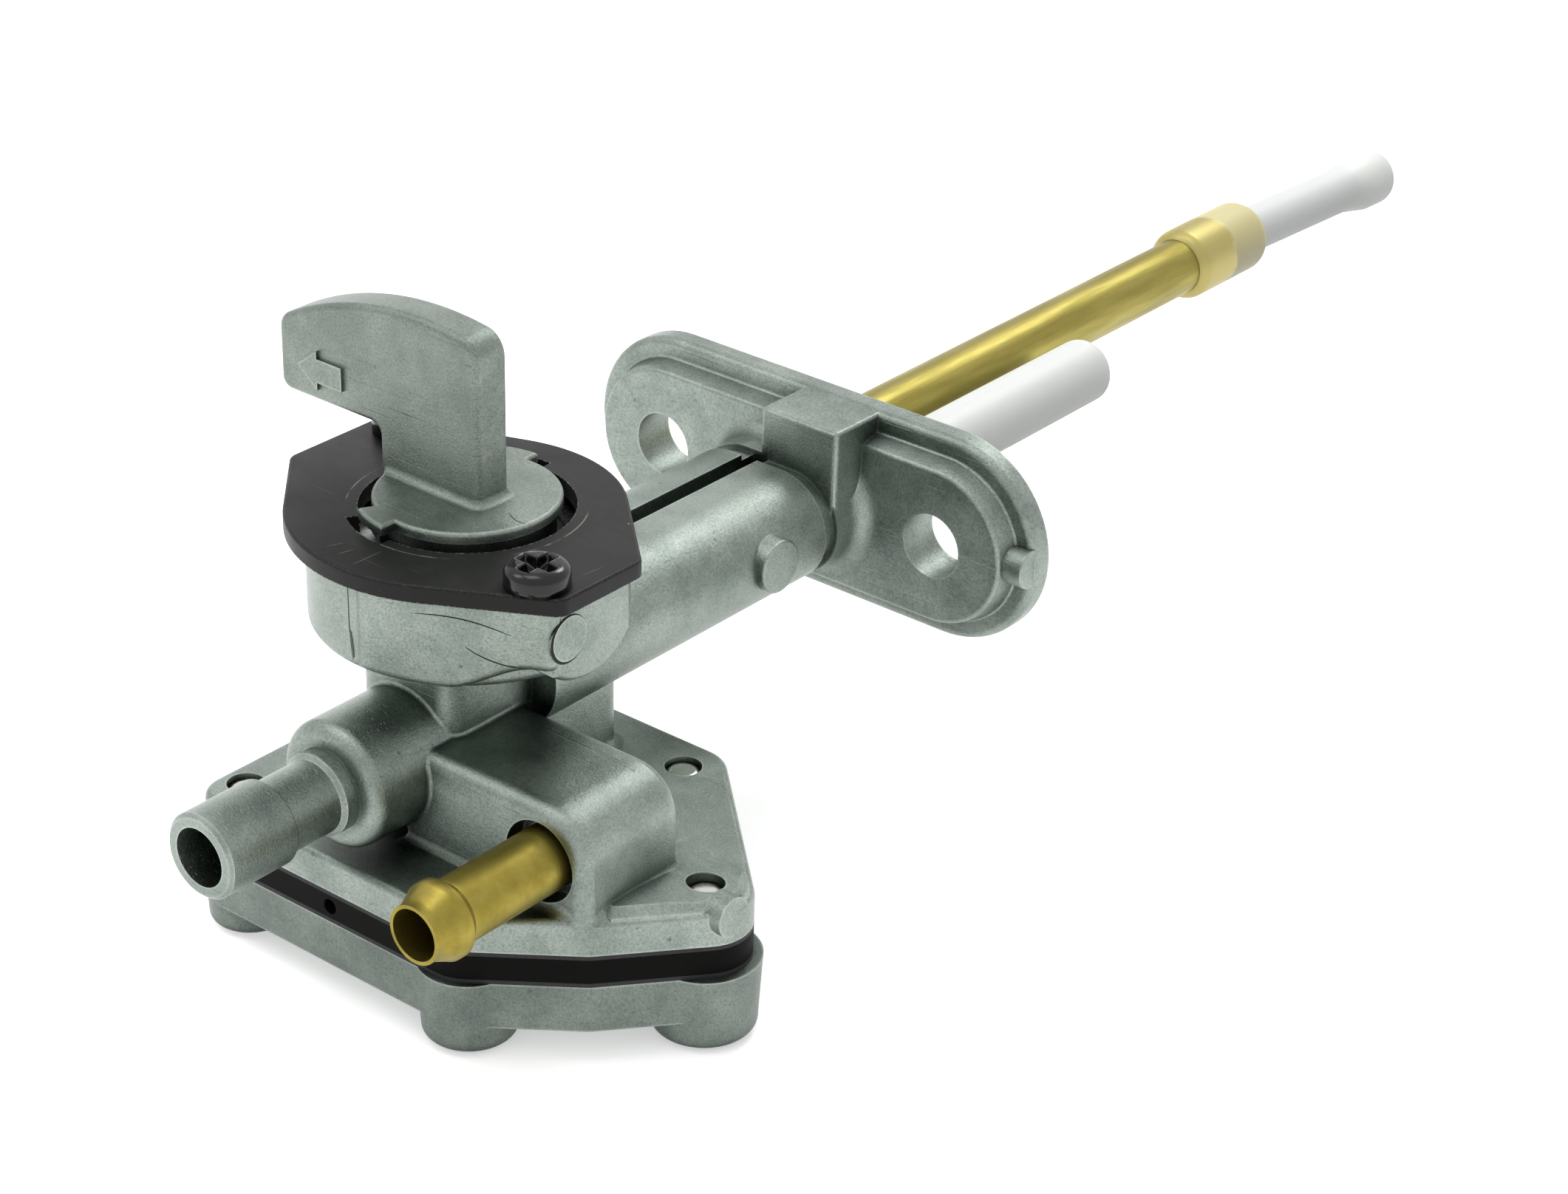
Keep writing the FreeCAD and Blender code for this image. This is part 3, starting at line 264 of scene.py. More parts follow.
body_alloy = cast_alloy("tumbled_die_cast_alloy", "a1aaa4", "87918b")
lever_alloy = cast_alloy("lever_die_cast_alloy", "98a19a", "7f8882", 0.34, 0.48)
cover_alloy = cast_alloy("cover_die_cast_alloy", "8a938d", "6f7873", 0.34, 0.5)
print("cast alloys made")


# %% [markdown]
# ## Black coats
# The retainer plate and its screws are steel with a black oxide coat, and the spacer is a
# black moulding. A dark dielectric coat still gives a soft reflection. Handling has left fine
# grey scratches, drawn as stretched noise that only shows where it peaks, and specks of dust.

# %% Black coats
def arc_rub(tree, place, radius, broad):
    """Up to 0.4 on a line 0.14 mm wide at this radius in mm about the lever's axis, in patches."""
    level = add(tree, "ShaderNodeVectorMath", {1: (axis_x * MM, axis_y * MM, 0)}, {0: place},
                operation="SUBTRACT")
    flat = add(tree, "ShaderNodeVectorMath", {1: (1, 1, 0)}, {0: level.outputs[0]},
               operation="MULTIPLY")
    away = add(tree, "ShaderNodeVectorMath", links={0: flat.outputs[0]}, operation="LENGTH")
    near = add(tree, "ShaderNodeMath", {1: radius * MM, 2: 0.07 * MM}, {0: away.outputs["Value"]},
               operation="COMPARE")
    partly = add(tree, "ShaderNodeMapRange", {"From Min": 0.5, "From Max": 0.62, "To Max": 0.4},
                 {"Value": broad.outputs["Fac"]})
    return add(tree, "ShaderNodeMath", links={0: near.outputs[0], 1: partly.outputs["Result"]},
               operation="MULTIPLY").outputs[0]


def black_coat(name, colour, scratch, rough, worn_edge, rub_radius=None, gloss=0.4):
    """A dark coat with fine scratches, specks and worn edges, from hex tints and a roughness.

    With rub_radius, arcs about the lever's axis are rubbed near that radius in mm.
    """
    made, tree, place = start_material(name)
    stretch = add(tree, "ShaderNodeMapping", {"Scale": (per_mm(6), per_mm(0.2), per_mm(0.2)),
                                               "Rotation": (0, 0, 0.5)}, {"Vector": place})
    lines = add(tree, "ShaderNodeTexNoise", {"Scale": 1.0, "Detail": 2.0},
                {"Vector": stretch.outputs[0]})
    fine = add(tree, "ShaderNodeTexNoise", {"Scale": per_mm(0.25), "Detail": 3.0},
               {"Vector": place})
    broad = add(tree, "ShaderNodeTexNoise", {"Scale": per_mm(5), "Detail": 4.0, "Roughness": 0.65},
                {"Vector": place})
    mottled = add(tree, "ShaderNodeValToRGB", links={"Fac": broad.outputs["Fac"]},
                  stops=[(0.4, linear(colour)), (0.75, linear("141512"))])
    lined = add(tree, "ShaderNodeMapRange", {"From Min": 0.69, "From Max": 0.75},
                {"Value": lines.outputs["Fac"]})
    tint = add(tree, "ShaderNodeMix", {7: linear(scratch)},
               {0: lined.outputs["Result"], 6: mottled.outputs["Color"]}, data_type="RGBA")
    # Specks of dust and bare steel are small pale dots.
    dot = rare_dots(tree, place, 2.0, "Green", 0.72, 0.07)
    speckled = add(tree, "ShaderNodeMix", {7: linear("8f8c86")}, {0: dot, 6: tint.outputs[2]},
                   data_type="RGBA")
    edge = rubbed_corners(tree, 0.22, 0.25)
    broken = add(tree, "ShaderNodeMapRange", {"From Min": 0.5, "From Max": 0.62},
                 {"Value": fine.outputs["Fac"]})
    rubs = add(tree, "ShaderNodeMath", links={0: edge, 1: broken.outputs["Result"]},
               operation="MULTIPLY").outputs[0]
    if rub_radius:
        arc = arc_rub(tree, place, rub_radius, broad)
        rubs = add(tree, "ShaderNodeMath", links={0: rubs, 1: arc}, operation="MAXIMUM").outputs[0]
    worn = add(tree, "ShaderNodeMix", {7: linear(worn_edge)}, {0: rubs, 6: speckled.outputs[2]},
               data_type="RGBA")
    matt = add(tree, "ShaderNodeMapRange", {"From Min": 0.35, "From Max": 0.7,
                                             "To Min": rough, "To Max": rough + 0.12},
               {"Value": broad.outputs["Fac"]})
    bump = add(tree, "ShaderNodeBump", {"Strength": 0.25, "Distance": 0.02 * MM},
               {"Height": fine.outputs["Fac"]})
    shader = add(tree, "ShaderNodeBsdfPrincipled",
                 {"Metallic": 0.0, "IOR": 1.45, "Specular IOR Level": gloss},
                 {"Base Color": worn.outputs[2], "Roughness": matt.outputs["Result"],
                  "Normal": bump.outputs["Normal"]})
    end_material(tree, shader)
    return made


plate_black = black_coat("black_oxide_steel_plate", "080907", "2c2b27", 0.4, "aaa79f",
                         rub_radius=10.7, gloss=0.3)
screw_black = black_coat("black_oxide_screws", "070707", "1d1c1b", 0.14, "54524e", gloss=0.5)
resin_black = black_coat("moulded_black_resin", "040404", "0c0c0c", 0.6, "0e0e0e", gloss=0.1)
print("black coats made")


# %% [markdown]
# ## Brass
# The standpipe is drawn tube and the nipple is turned. Drawn tube keeps fine lines along its
# length, a turned part keeps rings, and both have tarnished unevenly, from bright yellow to
# olive brown.

# %% Brass
def brass(name, bright, tarnished, lines_along_y=True):
    """Metallic yellow with uneven tarnish and the fine lines left by the die or the tool."""
    made, tree, place = start_material(name)
    if lines_along_y:
        drift = (per_mm(1.4), per_mm(14), per_mm(1.4))
        size = (per_mm(0.16), per_mm(12), per_mm(0.16))
    else:
        drift = (per_mm(3), per_mm(3), per_mm(3))
        size = (per_mm(8), per_mm(0.2), per_mm(8))
    drawn = add(tree, "ShaderNodeMapping", {"Scale": drift}, {"Vector": place})
    stain = add(tree, "ShaderNodeTexNoise", {"Scale": 1.0, "Detail": 5.0, "Roughness": 0.6},
                {"Vector": drawn.outputs[0]})
    tint = add(tree, "ShaderNodeValToRGB", links={"Fac": stain.outputs["Fac"]},
               stops=[(0.3, linear(tarnished)), (0.7, linear(bright))])
    stretch = add(tree, "ShaderNodeMapping", {"Scale": size}, {"Vector": place})
    lines = add(tree, "ShaderNodeTexNoise", {"Scale": 1.0, "Detail": 2.0},
                {"Vector": stretch.outputs[0]})
    bump = add(tree, "ShaderNodeBump", {"Strength": 0.35, "Distance": 0.03 * MM},
               {"Height": lines.outputs["Fac"]})
    rough = add(tree, "ShaderNodeMapRange", {"From Min": 0.3, "From Max": 0.7,
                                              "To Min": 0.48, "To Max": 0.36},
                {"Value": stain.outputs["Fac"]})
    shader = add(tree, "ShaderNodeBsdfPrincipled", {"Metallic": 1.0},
                 {"Base Color": tint.outputs["Color"], "Roughness": rough.outputs["Result"],
                  "Normal": bump.outputs["Normal"]})
    end_material(tree, shader)
    return made


pipe_brass = brass("drawn_brass_tube", "a0954f", "857a3a")
nipple_brass = brass("turned_brass_nipple", "a29348", "847631", lines_along_y=False)
print("brass made")


# %% [markdown]
# ## Nylon
# The strainers are natural nylon: milky, so light goes a little way in and comes out soft,
# which subsurface scattering gives. Where the brass pipe lies inside the collar, its brass colour
# and metalness are painted onto the nylon, a painted view of the pipe through it. Beyond the
# pipe's end the collar is cream, so the tint depends on the distance from the sealing face.

# %% Nylon
def nylon(name, milky, cream, cream_until, brass_until):
    """Natural nylon that changes along Y, with both distances in mm from the sealing face.

    Up to brass_until the pipe's brass is painted in, as a painted view through the nylon; it is
    cream up to cream_until, then milky.
    """
    made, tree, place = start_material(name)
    along = add(tree, "ShaderNodeSeparateXYZ", links={"Vector": place}).outputs["Y"]
    cloudy = add(tree, "ShaderNodeTexNoise", {"Scale": per_mm(3), "Detail": 4.0}, {"Vector": place})
    uneven = add(tree, "ShaderNodeMapRange", {"From Min": 0.3, "From Max": 0.7,
                                               "To Min": -0.6 * MM, "To Max": 0.6 * MM},
                 {"Value": cloudy.outputs["Fac"]})
    reached = add(tree, "ShaderNodeMath", links={0: along, 1: uneven.outputs["Result"]},
                  operation="ADD")
    change = add(tree, "ShaderNodeMapRange", {"From Min": (cream_until - 1.0) * MM,
                                               "From Max": (cream_until + 0.6) * MM},
                 {"Value": reached.outputs[0]})
    tint = add(tree, "ShaderNodeMix", {6: linear(cream), 7: linear(milky)},
               {0: change.outputs["Result"]}, data_type="RGBA")
    # Painted see-through: the pipe's brass colour and metalness are painted onto the nylon up to
    # the pipe's end.
    through = add(tree, "ShaderNodeMapRange", {"From Min": (brass_until - 0.5) * MM,
                                                "From Max": (brass_until + 0.5) * MM,
                                                "To Min": 0.75, "To Max": 0.0},
                  {"Value": reached.outputs[0]})
    seen = add(tree, "ShaderNodeMix", {7: linear("a3954c")},
               {0: through.outputs["Result"], 6: tint.outputs[2]}, data_type="RGBA")
    weave = add(tree, "ShaderNodeTexNoise", {"Scale": per_mm(0.35), "Detail": 2.0},
                {"Vector": place})
    bump = add(tree, "ShaderNodeBump", {"Strength": 0.3, "Distance": 0.04 * MM},
               {"Height": weave.outputs["Fac"]})
    shader = add(tree, "ShaderNodeBsdfPrincipled",
                 {"Roughness": 0.45, "IOR": 1.53, "Subsurface Weight": 0.9,
                  "Subsurface Radius": (1.0, 0.97, 0.85), "Subsurface Scale": 2.0 * MM,
                  "Transmission Weight": 0.15},
                 {"Base Color": seen.outputs[2], "Metallic": through.outputs["Result"],
                  "Normal": bump.outputs["Normal"]})
    end_material(tree, shader)
    return made


collar_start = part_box("main_strainer")[0][1] / MM
pipe_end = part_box("standpipe")[1][1] / MM
CREAM_LENGTH = 14.0
strainer_nylon = nylon("natural_nylon_strainer", "eef1ed", "dcd29c", collar_start + CREAM_LENGTH,
                       pipe_end)
reserve_nylon = nylon("natural_nylon_reserve", "eef1ed", "e4e2d2", 3.0, 0.0)
print("strainer collar from", round(collar_start, 1), "pipe ends at", round(pipe_end, 1))


# %% [markdown]
# ## Rubber and steel
# Rubber is dark and dull. The hidden spring and washers are bright steel, and the cover's
# screws are zinc plated. None of them has a pattern that the eye can find, only a faint grain.
# The same finish serves for grime in a crack, for painted shade round the mark on the ear's end,
# the parting line and scratches.

# %% Rubber and steel
def plain(name, colour, metallic, roughness):
    """A finish with a faint grain, from a hex tint, how metallic it is and its roughness."""
    made, tree, place = start_material(name)
    grain = add(tree, "ShaderNodeTexNoise", {"Scale": per_mm(0.4), "Detail": 2.0},
                {"Vector": place})
    bump = add(tree, "ShaderNodeBump", {"Strength": 0.25, "Distance": 0.03 * MM},
               {"Height": grain.outputs["Fac"]})
    rough = add(tree, "ShaderNodeMapRange", {"From Min": 0.3, "From Max": 0.7,
                                              "To Min": roughness - 0.05,
                                              "To Max": roughness + 0.05},
                {"Value": grain.outputs["Fac"]})
    shader = add(tree, "ShaderNodeBsdfPrincipled",
                 {"Base Color": linear(colour), "Metallic": metallic},
                 {"Roughness": rough.outputs["Result"], "Normal": bump.outputs["Normal"]})
    end_material(tree, shader)
    return made


# Dark lines of grime in cracks; the same finish paints shade round the mark on the ear's end.
grime_and_shade_lines = plain("crack_grime_and_painted_shade", "33342f", 0.0, 0.8)
faint_line = plain("dull_parting_line", "5c605a", 0.6, 0.6)
bare_scratch = plain("scratch_through_black_oxide", "6e6a64", 0.7, 0.5)
seal_rubber = plain("nitrile_rubber", "1c1c1d", 0.0, 0.65)
sheet_rubber = plain("fabric_backed_rubber", "262627", 0.0, 0.7)
bright_steel = plain("bright_spring_steel", "b4b5b6", 1.0, 0.28)
zinc_screws = plain("zinc_plated_screws", "d2d2ca", 1.0, 0.22)
print("materials:", len(bpy.data.materials))


# %% [markdown]
# ## Finishing the solids
# Each CAD solid is loose triangles. A copy has its doubles merged, and is shaded smooth except
# where two faces meet at a real corner. The copy then stands for the solid, so the mesh that
# MuJoCo uses is never touched.


def body_of_node(name):
    """The moving body that carries a CAD node."""
    for body, nodes in frame["record"]["behaviour"]["bodies"].items():
        if name in nodes:
            return body
    return "housing"


def dress(node, material, corner_degrees=38.0):
    """A merged, smooth copy of a CAD node that stands for it."""
    source = frame["nodes"][node]
    mesh = source.data.copy()
    mesh.materials.clear()
    mesh.materials.append(material)
    piece = bpy.data.objects.new(node + "_finished", mesh)
    bpy.context.scene.collection.objects.link(piece)
    bpy.ops.object.select_all(action="DESELECT")
    piece.select_set(True)
    bpy.context.view_layer.objects.active = piece
    bpy.ops.object.mode_set(mode="EDIT")
    bpy.ops.mesh.select_all(action="SELECT")
    bpy.ops.mesh.remove_doubles(threshold=0.002 * MM)
    bpy.ops.object.mode_set(mode="OBJECT")
    bpy.ops.mesh.customdata_custom_splitnormals_clear()
    bpy.ops.object.shade_smooth_by_angle(angle=math.radians(corner_degrees))
    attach(piece, body_of_node(node))
    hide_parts(node)
    return piece


FINISHES = {
    "valve_body": body_alloy,
    "lever": lever_alloy,
    "diaphragm_cover": cover_alloy,
    "retainer_plate": plate_black,
    "diaphragm_spacer": resin_black,
    "diaphragm_collar": resin_black,
    "standpipe": pipe_brass,
    "vacuum_nipple": nipple_brass,
    "plunger": nipple_brass,
    "main_strainer": strainer_nylon,
    "reserve_strainer": reserve_nylon,
    "flange_o_ring": seal_rubber,
    "lever_o_ring": seal_rubber,
    "plunger_o_ring": seal_rubber,
    "valve_gasket": seal_rubber,
    "fuel_diaphragm": sheet_rubber,
    "vacuum_diaphragm": sheet_rubber,
    "wave_washer": bright_steel,
    "fuel_side_plate": bright_steel,
    "spring_cup": bright_steel,
    "stem_clip": bright_steel,
    "diaphragm_spring": bright_steel,
    "cover_screws": zinc_screws,
}
dressed = {node: dress(node, finish) for node, finish in FINISHES.items()}
print("dressed solids:", len(dressed))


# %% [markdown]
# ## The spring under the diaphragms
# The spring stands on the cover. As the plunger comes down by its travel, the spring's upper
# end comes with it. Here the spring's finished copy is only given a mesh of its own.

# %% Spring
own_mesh(dressed["diaphragm_spring"])


# %% [markdown]
# ## New surfaces
# Each new surface is a grid of points from a formula, in millimetres. One function joins its
# neighbours into faces and puts it on the body that carries it. A formula that rises from one
# level to another does so by a smooth step.

# %% Sheets from grids of points
def grid_mesh(name, points, material, body="housing", wrap=False, flip=False):
    """A sheet from a grid of points in mm, rows by columns by 3. wrap joins its last row to its
    first, and flip turns its faces over."""
    rows, columns = points.shape[:2]
    index = np.arange(rows * columns).reshape(rows, columns)
    after = np.roll(index, -1, axis=0) if wrap else index[1:]
    before = index if wrap else index[:-1]
    quads = np.stack([before[:, :-1], after[:, :-1], after[:, 1:], before[:, 1:]], axis=-1)
    quads = quads.reshape(-1, 4)
    if flip:
        quads = quads[:, ::-1]
    mesh = bpy.data.meshes.new(name)
    mesh.from_pydata((points.reshape(-1, 3) * MM).tolist(), [], quads.tolist())
    mesh.materials.append(material)
    mesh.shade_smooth()
    piece = bpy.data.objects.new(name, mesh)
    bpy.context.scene.collection.objects.link(piece)
    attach(piece, body)
    return piece


def smoothstep(low, high, value):
    """0 below low, 1 above high, and 3t^2 - 2t^3 between them."""
    t = np.clip((value - low) / (high - low), 0.0, 1.0)
    return t * t * (3 - 2 * t)


# %% [markdown]
# ## Ears of the lever housing
# Each retainer screw stands in an ear of the casting. The ear's wall leaves the drum on a
# tangent, goes round a small corner to the flat end, and its lower edge climbs from the drum's
# rounded corner to the ear's end. It is modelled as the die would cut it: one profile, a wall
# with a rounded foot, carried along the ear's outline. Its edges are sunk in the solid, so it
# reads as one casting, and it closes the wall in front of the screw's thread.

# %% Ear walls
DRUM_RADIUS = 14.3
DRUM_BOTTOM = 5.2
DRUM_TOP = 14.3
EAR_END = 17.4
EAR_CORNER = 1.5
CORNER_X = EAR_END - EAR_CORNER
CORNER_Y = -7.07
TANGENT_DEGREES = -66.6
TANGENT = math.radians(TANGENT_DEGREES)
PROUD = 0.012

WALL_START_DEGREES = -88
FOOT_ROUND = 1.0
FOOT_CLIMB = 3.1
CLIMB_START, CLIMB_END = 8.0, 16.0
UNDER_END, UNDER_WALL = 1.45, 3.2
TOP_GAP = 0.02
SUNK = 0.4


def ear_wall(name, half_turn):
    """P(u, v) = outline(u) - normal(u) * inward(u, v), at height(u, v).

    The outline is an arc of the drum, a tangent line, an arc of 1.5 mm and the ear's end.
    inward and height go down the wall, round a quarter circle and in along the underside.
    """
    drum_turn = np.radians(np.linspace(WALL_START_DEGREES, TANGENT_DEGREES, 9))
    small_turn = np.radians(np.linspace(TANGENT_DEGREES, 0, 11))
    line = np.linspace(0, 1, 26)[1:-1, None]
    on_drum = DRUM_RADIUS * np.stack([np.cos(drum_turn), np.sin(drum_turn)], axis=1)
    on_corner = np.array([CORNER_X, CORNER_Y]) + EAR_CORNER * np.stack(
        [np.cos(small_turn), np.sin(small_turn)], axis=1)
    straight = on_drum[-1] * (1 - line) + on_corner[0] * line
    outline = np.concatenate([on_drum, straight, on_corner])
    turn = np.concatenate([drum_turn, np.full(len(line), TANGENT), small_turn])
    normal = np.stack([np.cos(turn), np.sin(turn)], axis=1)
    foot = DRUM_BOTTOM + FOOT_CLIMB * smoothstep(CLIMB_START, CLIMB_END, outline[:, 0])
    foot = foot[:, None]
    quarter = np.radians(np.linspace(0, 90, 8))
    deepest = np.where(outline[:, 0] > CORNER_X, UNDER_END, UNDER_WALL)[:, None]
    wall = np.linspace(0, 1, 5)[:-1]
    rounding = np.tile(FOOT_ROUND - FOOT_ROUND * np.cos(quarter), (len(outline), 1))
    inward = np.concatenate([np.zeros((len(outline), len(wall))), rounding, deepest], axis=1)
    height = np.concatenate([(DRUM_TOP - TOP_GAP) * (1 - wall) + (foot + FOOT_ROUND) * wall,
                             foot + FOOT_ROUND - FOOT_ROUND * np.sin(quarter), foot], axis=1)
    flat = outline[:, None] + normal[:, None] * (PROUD - inward[..., None])
    sign = -1 if half_turn else 1
    placed = sign * flat + np.array([axis_x, axis_y])
    points = np.concatenate([placed, height[..., None]], axis=2)
    # The first and last rows of the sheet turn inward, so its ends are inside the casting.
    sunk = points.copy()[[0, -1]]
    sunk[..., :2] -= SUNK * sign * normal[[0, -1], None]
    points = np.concatenate([sunk[:1], points, sunk[1:]])
    return grid_mesh(name, points, body_alloy, flip=True)


for name, half_turn in (("front_ear_wall", False), ("rear_ear_wall", True)):
    made = ear_wall(name, half_turn)
    print(name, len(made.data.polygons), "faces")


# %% [markdown]
# ## Retainer screws
# The two screws are turned and then punched with a wide cross recess that has soft walls, so
# the black head catches light on the recess's lips. A head is one height field over a round
# grid: a pan profile less the recess. Its shank is hidden, and ends where the solid's does.

# %% Retainer screws
SCREW_AT = np.array([14.9, -7.15])
HEAD_RADIUS = 2.9
HEAD_HEIGHT = 2.1
HEAD_BEND = 1.1
HEAD_FALL = 0.95
SHANK_RADIUS = 1.6


def pan_screw(centre, base, length):
    """z(r, t) = pan(r) - slope * cross(r, t), then a straight side and a shank.

    pan is flat and drops by a quarter ellipse over the outer 1.1 mm. cross is 1 along both
    arms and falls to 0 between 0.42 and 0.74 mm from their middle lines and between 1.7 and
    2.0 mm from the middle. slope makes the recess deepest, at 1.25 mm, in the middle.
    """
    around = np.linspace(0, 2 * np.pi, 128, endpoint=False)
    flat_radius = HEAD_RADIUS - HEAD_BEND
    bent = flat_radius + HEAD_BEND * np.sin(np.linspace(0, np.pi / 2, 14)[1:])
    t, r = np.meshgrid(around, np.concatenate([np.linspace(0, flat_radius, 26), bent]),
                       indexing="ij")
    bend = np.clip((r - flat_radius) / HEAD_BEND, 0, 1)
    pan = HEAD_HEIGHT - HEAD_FALL * (1 - np.sqrt(1 - bend ** 2))
    x, y = r * np.cos(t), r * np.sin(t)
    near, far = np.minimum(abs(x), abs(y)), np.maximum(abs(x), abs(y))
    cross = (1 - smoothstep(0.42, 0.74, near)) * (1 - smoothstep(1.7, 2.0, far))
    slope = 0.75 + 0.5 * (1 - np.clip(far / 2.0, 0, 1))
    top = np.stack([x, y, pan - cross * slope], axis=2)
    ring = np.stack([np.cos(around), np.sin(around)], axis=1)[:, None]
    side = np.array([(HEAD_RADIUS, 0.6), (HEAD_RADIUS, 0.02), (SHANK_RADIUS, 0.0),
                     (SHANK_RADIUS, -length), (0.0, -length)])
    below = np.concatenate([ring * side[None, :, :1],
                            np.tile(side[None, :, 1:], (len(around), 1, 1))], axis=2)
    points = np.concatenate([top, below], axis=1)
    return points + np.array([axis_x + centre[0], axis_y + centre[1], base])


shank = plate_top - node_box("retainer_screws")[0][2]
for name, sign in (("front_retainer_screw", 1), ("rear_retainer_screw", -1)):
    head = grid_mesh(name, pan_screw(sign * SCREW_AT, plate_top, shank), screw_black,
                     wrap=True)
    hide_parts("retainer_screws")
    print(name, len(head.data.polygons), "faces")


# %% [markdown]
# ## Sprue stub on the flange
# Where the metal ran into the die, a short round stub is left lying in the flange's rim. It was
# broken off and ground level with the flange's end, and its inner end is round. It is a
# profile turned about a line along X.

# %% Sprue stub
SMALL_ROUND = 0.15
DOME = 1.0


def sprue_stub(start, end, radius, y, z):
    """P(t, x) = (x, y + r(x) cos t, z + r(x) sin t): a dome at the start and flat at the end."""
    around = np.linspace(0, 2 * np.pi, 64, endpoint=False)
    dome = np.radians(np.linspace(0, 90, 9))
    x = np.concatenate([start + DOME - DOME * np.cos(dome),
                        np.linspace(start + 1.4, end - SMALL_ROUND, 6),
                        end - SMALL_ROUND + SMALL_ROUND * np.sin(dome[2::3]), [end, end]])
    r = np.concatenate([radius * np.sin(dome), np.full(6, radius),
                        radius - SMALL_ROUND + SMALL_ROUND * np.cos(dome[2::3]), [radius - 0.4, 0]])
    ring = np.stack([np.zeros(64), np.cos(around), np.sin(around)], axis=1)[:, None]
    return ring * r[None, :, None] + np.stack([x, np.full(len(x), y), np.full(len(x), z)], axis=1)


stub_points = sprue_stub(start=23.3, end=27.3, radius=2.0, y=-2.3, z=0.05)
stub = grid_mesh("sprue_stub", stub_points, body_alloy, wrap=True)
print("sprue stub:", len(stub.data.polygons), "faces")


# %% [markdown]
# ## Fine marks of the casting
# The die's parting line runs down the drum, two cold shuts run along the ear's wall, a crack
# crosses the lever's disc, and the round mark on the ear's end is ringed by painted shade, a dark
# crescent on one side. The black plate has a few scratches down to bare steel. They are too fine
# for a solid, so each is a ribbon about a tenth of a millimetre wide that lies on the surface and
# thins out at its ends.

# %% Ribbons and the paths they follow
def ribbon(name, path, normal, width, material, body="housing"):
    """P(t, s) = path(t) + s * width * taper(t) * (tangent(t) x normal(t)), s from -0.5 to 0.5.

    path and normal are functions of t from 0 to 1; taper(t) = sin(pi t) to the power 0.4.
    """
    t = np.linspace(0, 1, 41)
    middle = path(t)
    tangent = np.gradient(middle, axis=0)
    tangent /= np.linalg.norm(tangent, axis=1)[:, None]
    across = np.cross(tangent, normal(t))
    taper = np.sin(np.pi * np.clip(t, 0.01, 0.99)) ** 0.4
    s = np.array([-0.5, 0.5])[None, :, None]
    points = middle[:, None] + s * (width * taper)[:, None, None] * across[:, None]
    return grid_mesh(name, points, material, body=body)


def through(points):
    """A path through a few points: each coordinate is a cubic in t fitted to them."""
    points = np.array(points, float)
    at = np.linspace(0, 1, len(points))
    curves = [np.polyfit(at, points[:, k], min(3, len(points) - 1)) for k in range(3)]
    return lambda t: np.stack([np.polyval(curve, t) for curve in curves], axis=1)


def facing(vector):
    """The same normal all along a path."""
    return lambda t: np.tile(np.array(vector, float), (len(t), 1))


def on_drum(degrees, heights):
    """A path down the drum, at these turns about the lever's axis and heights, just proud."""
    def path(t):
        turn = np.radians(np.interp(t, np.linspace(0, 1, len(degrees)), degrees))
        out = DRUM_RADIUS + 2 * PROUD
        return np.stack([axis_x + out * np.cos(turn), axis_y + out * np.sin(turn),
                         np.interp(t, np.linspace(0, 1, len(heights)), heights)], axis=1)
    return path


def drum_normal(path):
    """The level direction from the lever's axis to each point of a path."""
    def normal(t):
        out = path(t) - np.array([axis_x, axis_y, 0])
        out[:, 2] = 0
        return out / np.linalg.norm(out, axis=1)[:, None]
    return normal


WALL_NORMAL = np.array([math.cos(TANGENT), math.sin(TANGENT), 0])


def on_wall(points):
    """Points on the front ear's wall from their x and height: the wall's plane gives y."""
    placed = [(axis_x + x, axis_y + (DRUM_RADIUS - x * WALL_NORMAL[0]) / WALL_NORMAL[1], z)
              for x, z in points]
    return through(np.array(placed) + 2 * PROUD * WALL_NORMAL)


# %% [markdown]
# ## Where the fine marks lie
# Places on the drum are turns about the lever's axis and heights. Places on the ear, the
# lever's disc and the plate are measured from that axis.

# %% Fine marks
parting = on_drum([-92.2, -92.0, -90.6], [14.2, 9.0, 5.9])
ribbon("parting_line", parting, drum_normal(parting), 0.09, faint_line)
dash = on_drum([-91.5, -90.3], [8.9, 6.3])
ribbon("parting_line_flaw", dash, drum_normal(dash), 0.3, faint_line)
ribbon("upper_cold_shut", on_wall([(6.1, 12.3), (9.0, 12.5), (11.5, 12.25), (14.0, 11.6)]),
       facing(WALL_NORMAL), 0.13, grime_and_shade_lines)
ribbon("lower_cold_shut", on_wall([(10.2, 9.9), (11.7, 9.1), (13.7, 8.65), (15.6, 8.85)]),
       facing(WALL_NORMAL), 0.13, grime_and_shade_lines)


def ear_mark_ring(centre, radius, width):
    """A dark ring of painted shade on the ear's end: its width swells once in a turn, like a
    crescent of shade.
    """
    turn = np.linspace(0, 2 * np.pi, 96, endpoint=False)
    wide = width * (0.55 + 0.45 * np.cos(turn - 3.9)) + 0.05
    edge = np.stack([radius - 0.02 + np.zeros(96), radius + wide], axis=1)[..., None]
    spoke = np.stack([np.zeros(96), np.cos(turn), np.sin(turn)], axis=1)[:, None]
    return np.array(centre) + edge * spoke


EAR_MARK_Y = -6.0
EAR_MARK_HEIGHT = 11.2
EAR_MARK_RADIUS = 2.1
ring_centre = (axis_x + EAR_END + 2 * PROUD, axis_y + EAR_MARK_Y, EAR_MARK_HEIGHT)
ring_points = ear_mark_ring(ring_centre, EAR_MARK_RADIUS, 0.22)
# Painted shade: a dark ring round the mark on the ear's end, wider on one side.
grid_mesh("ear_mark_painted_shade", ring_points, grime_and_shade_lines, wrap=True)

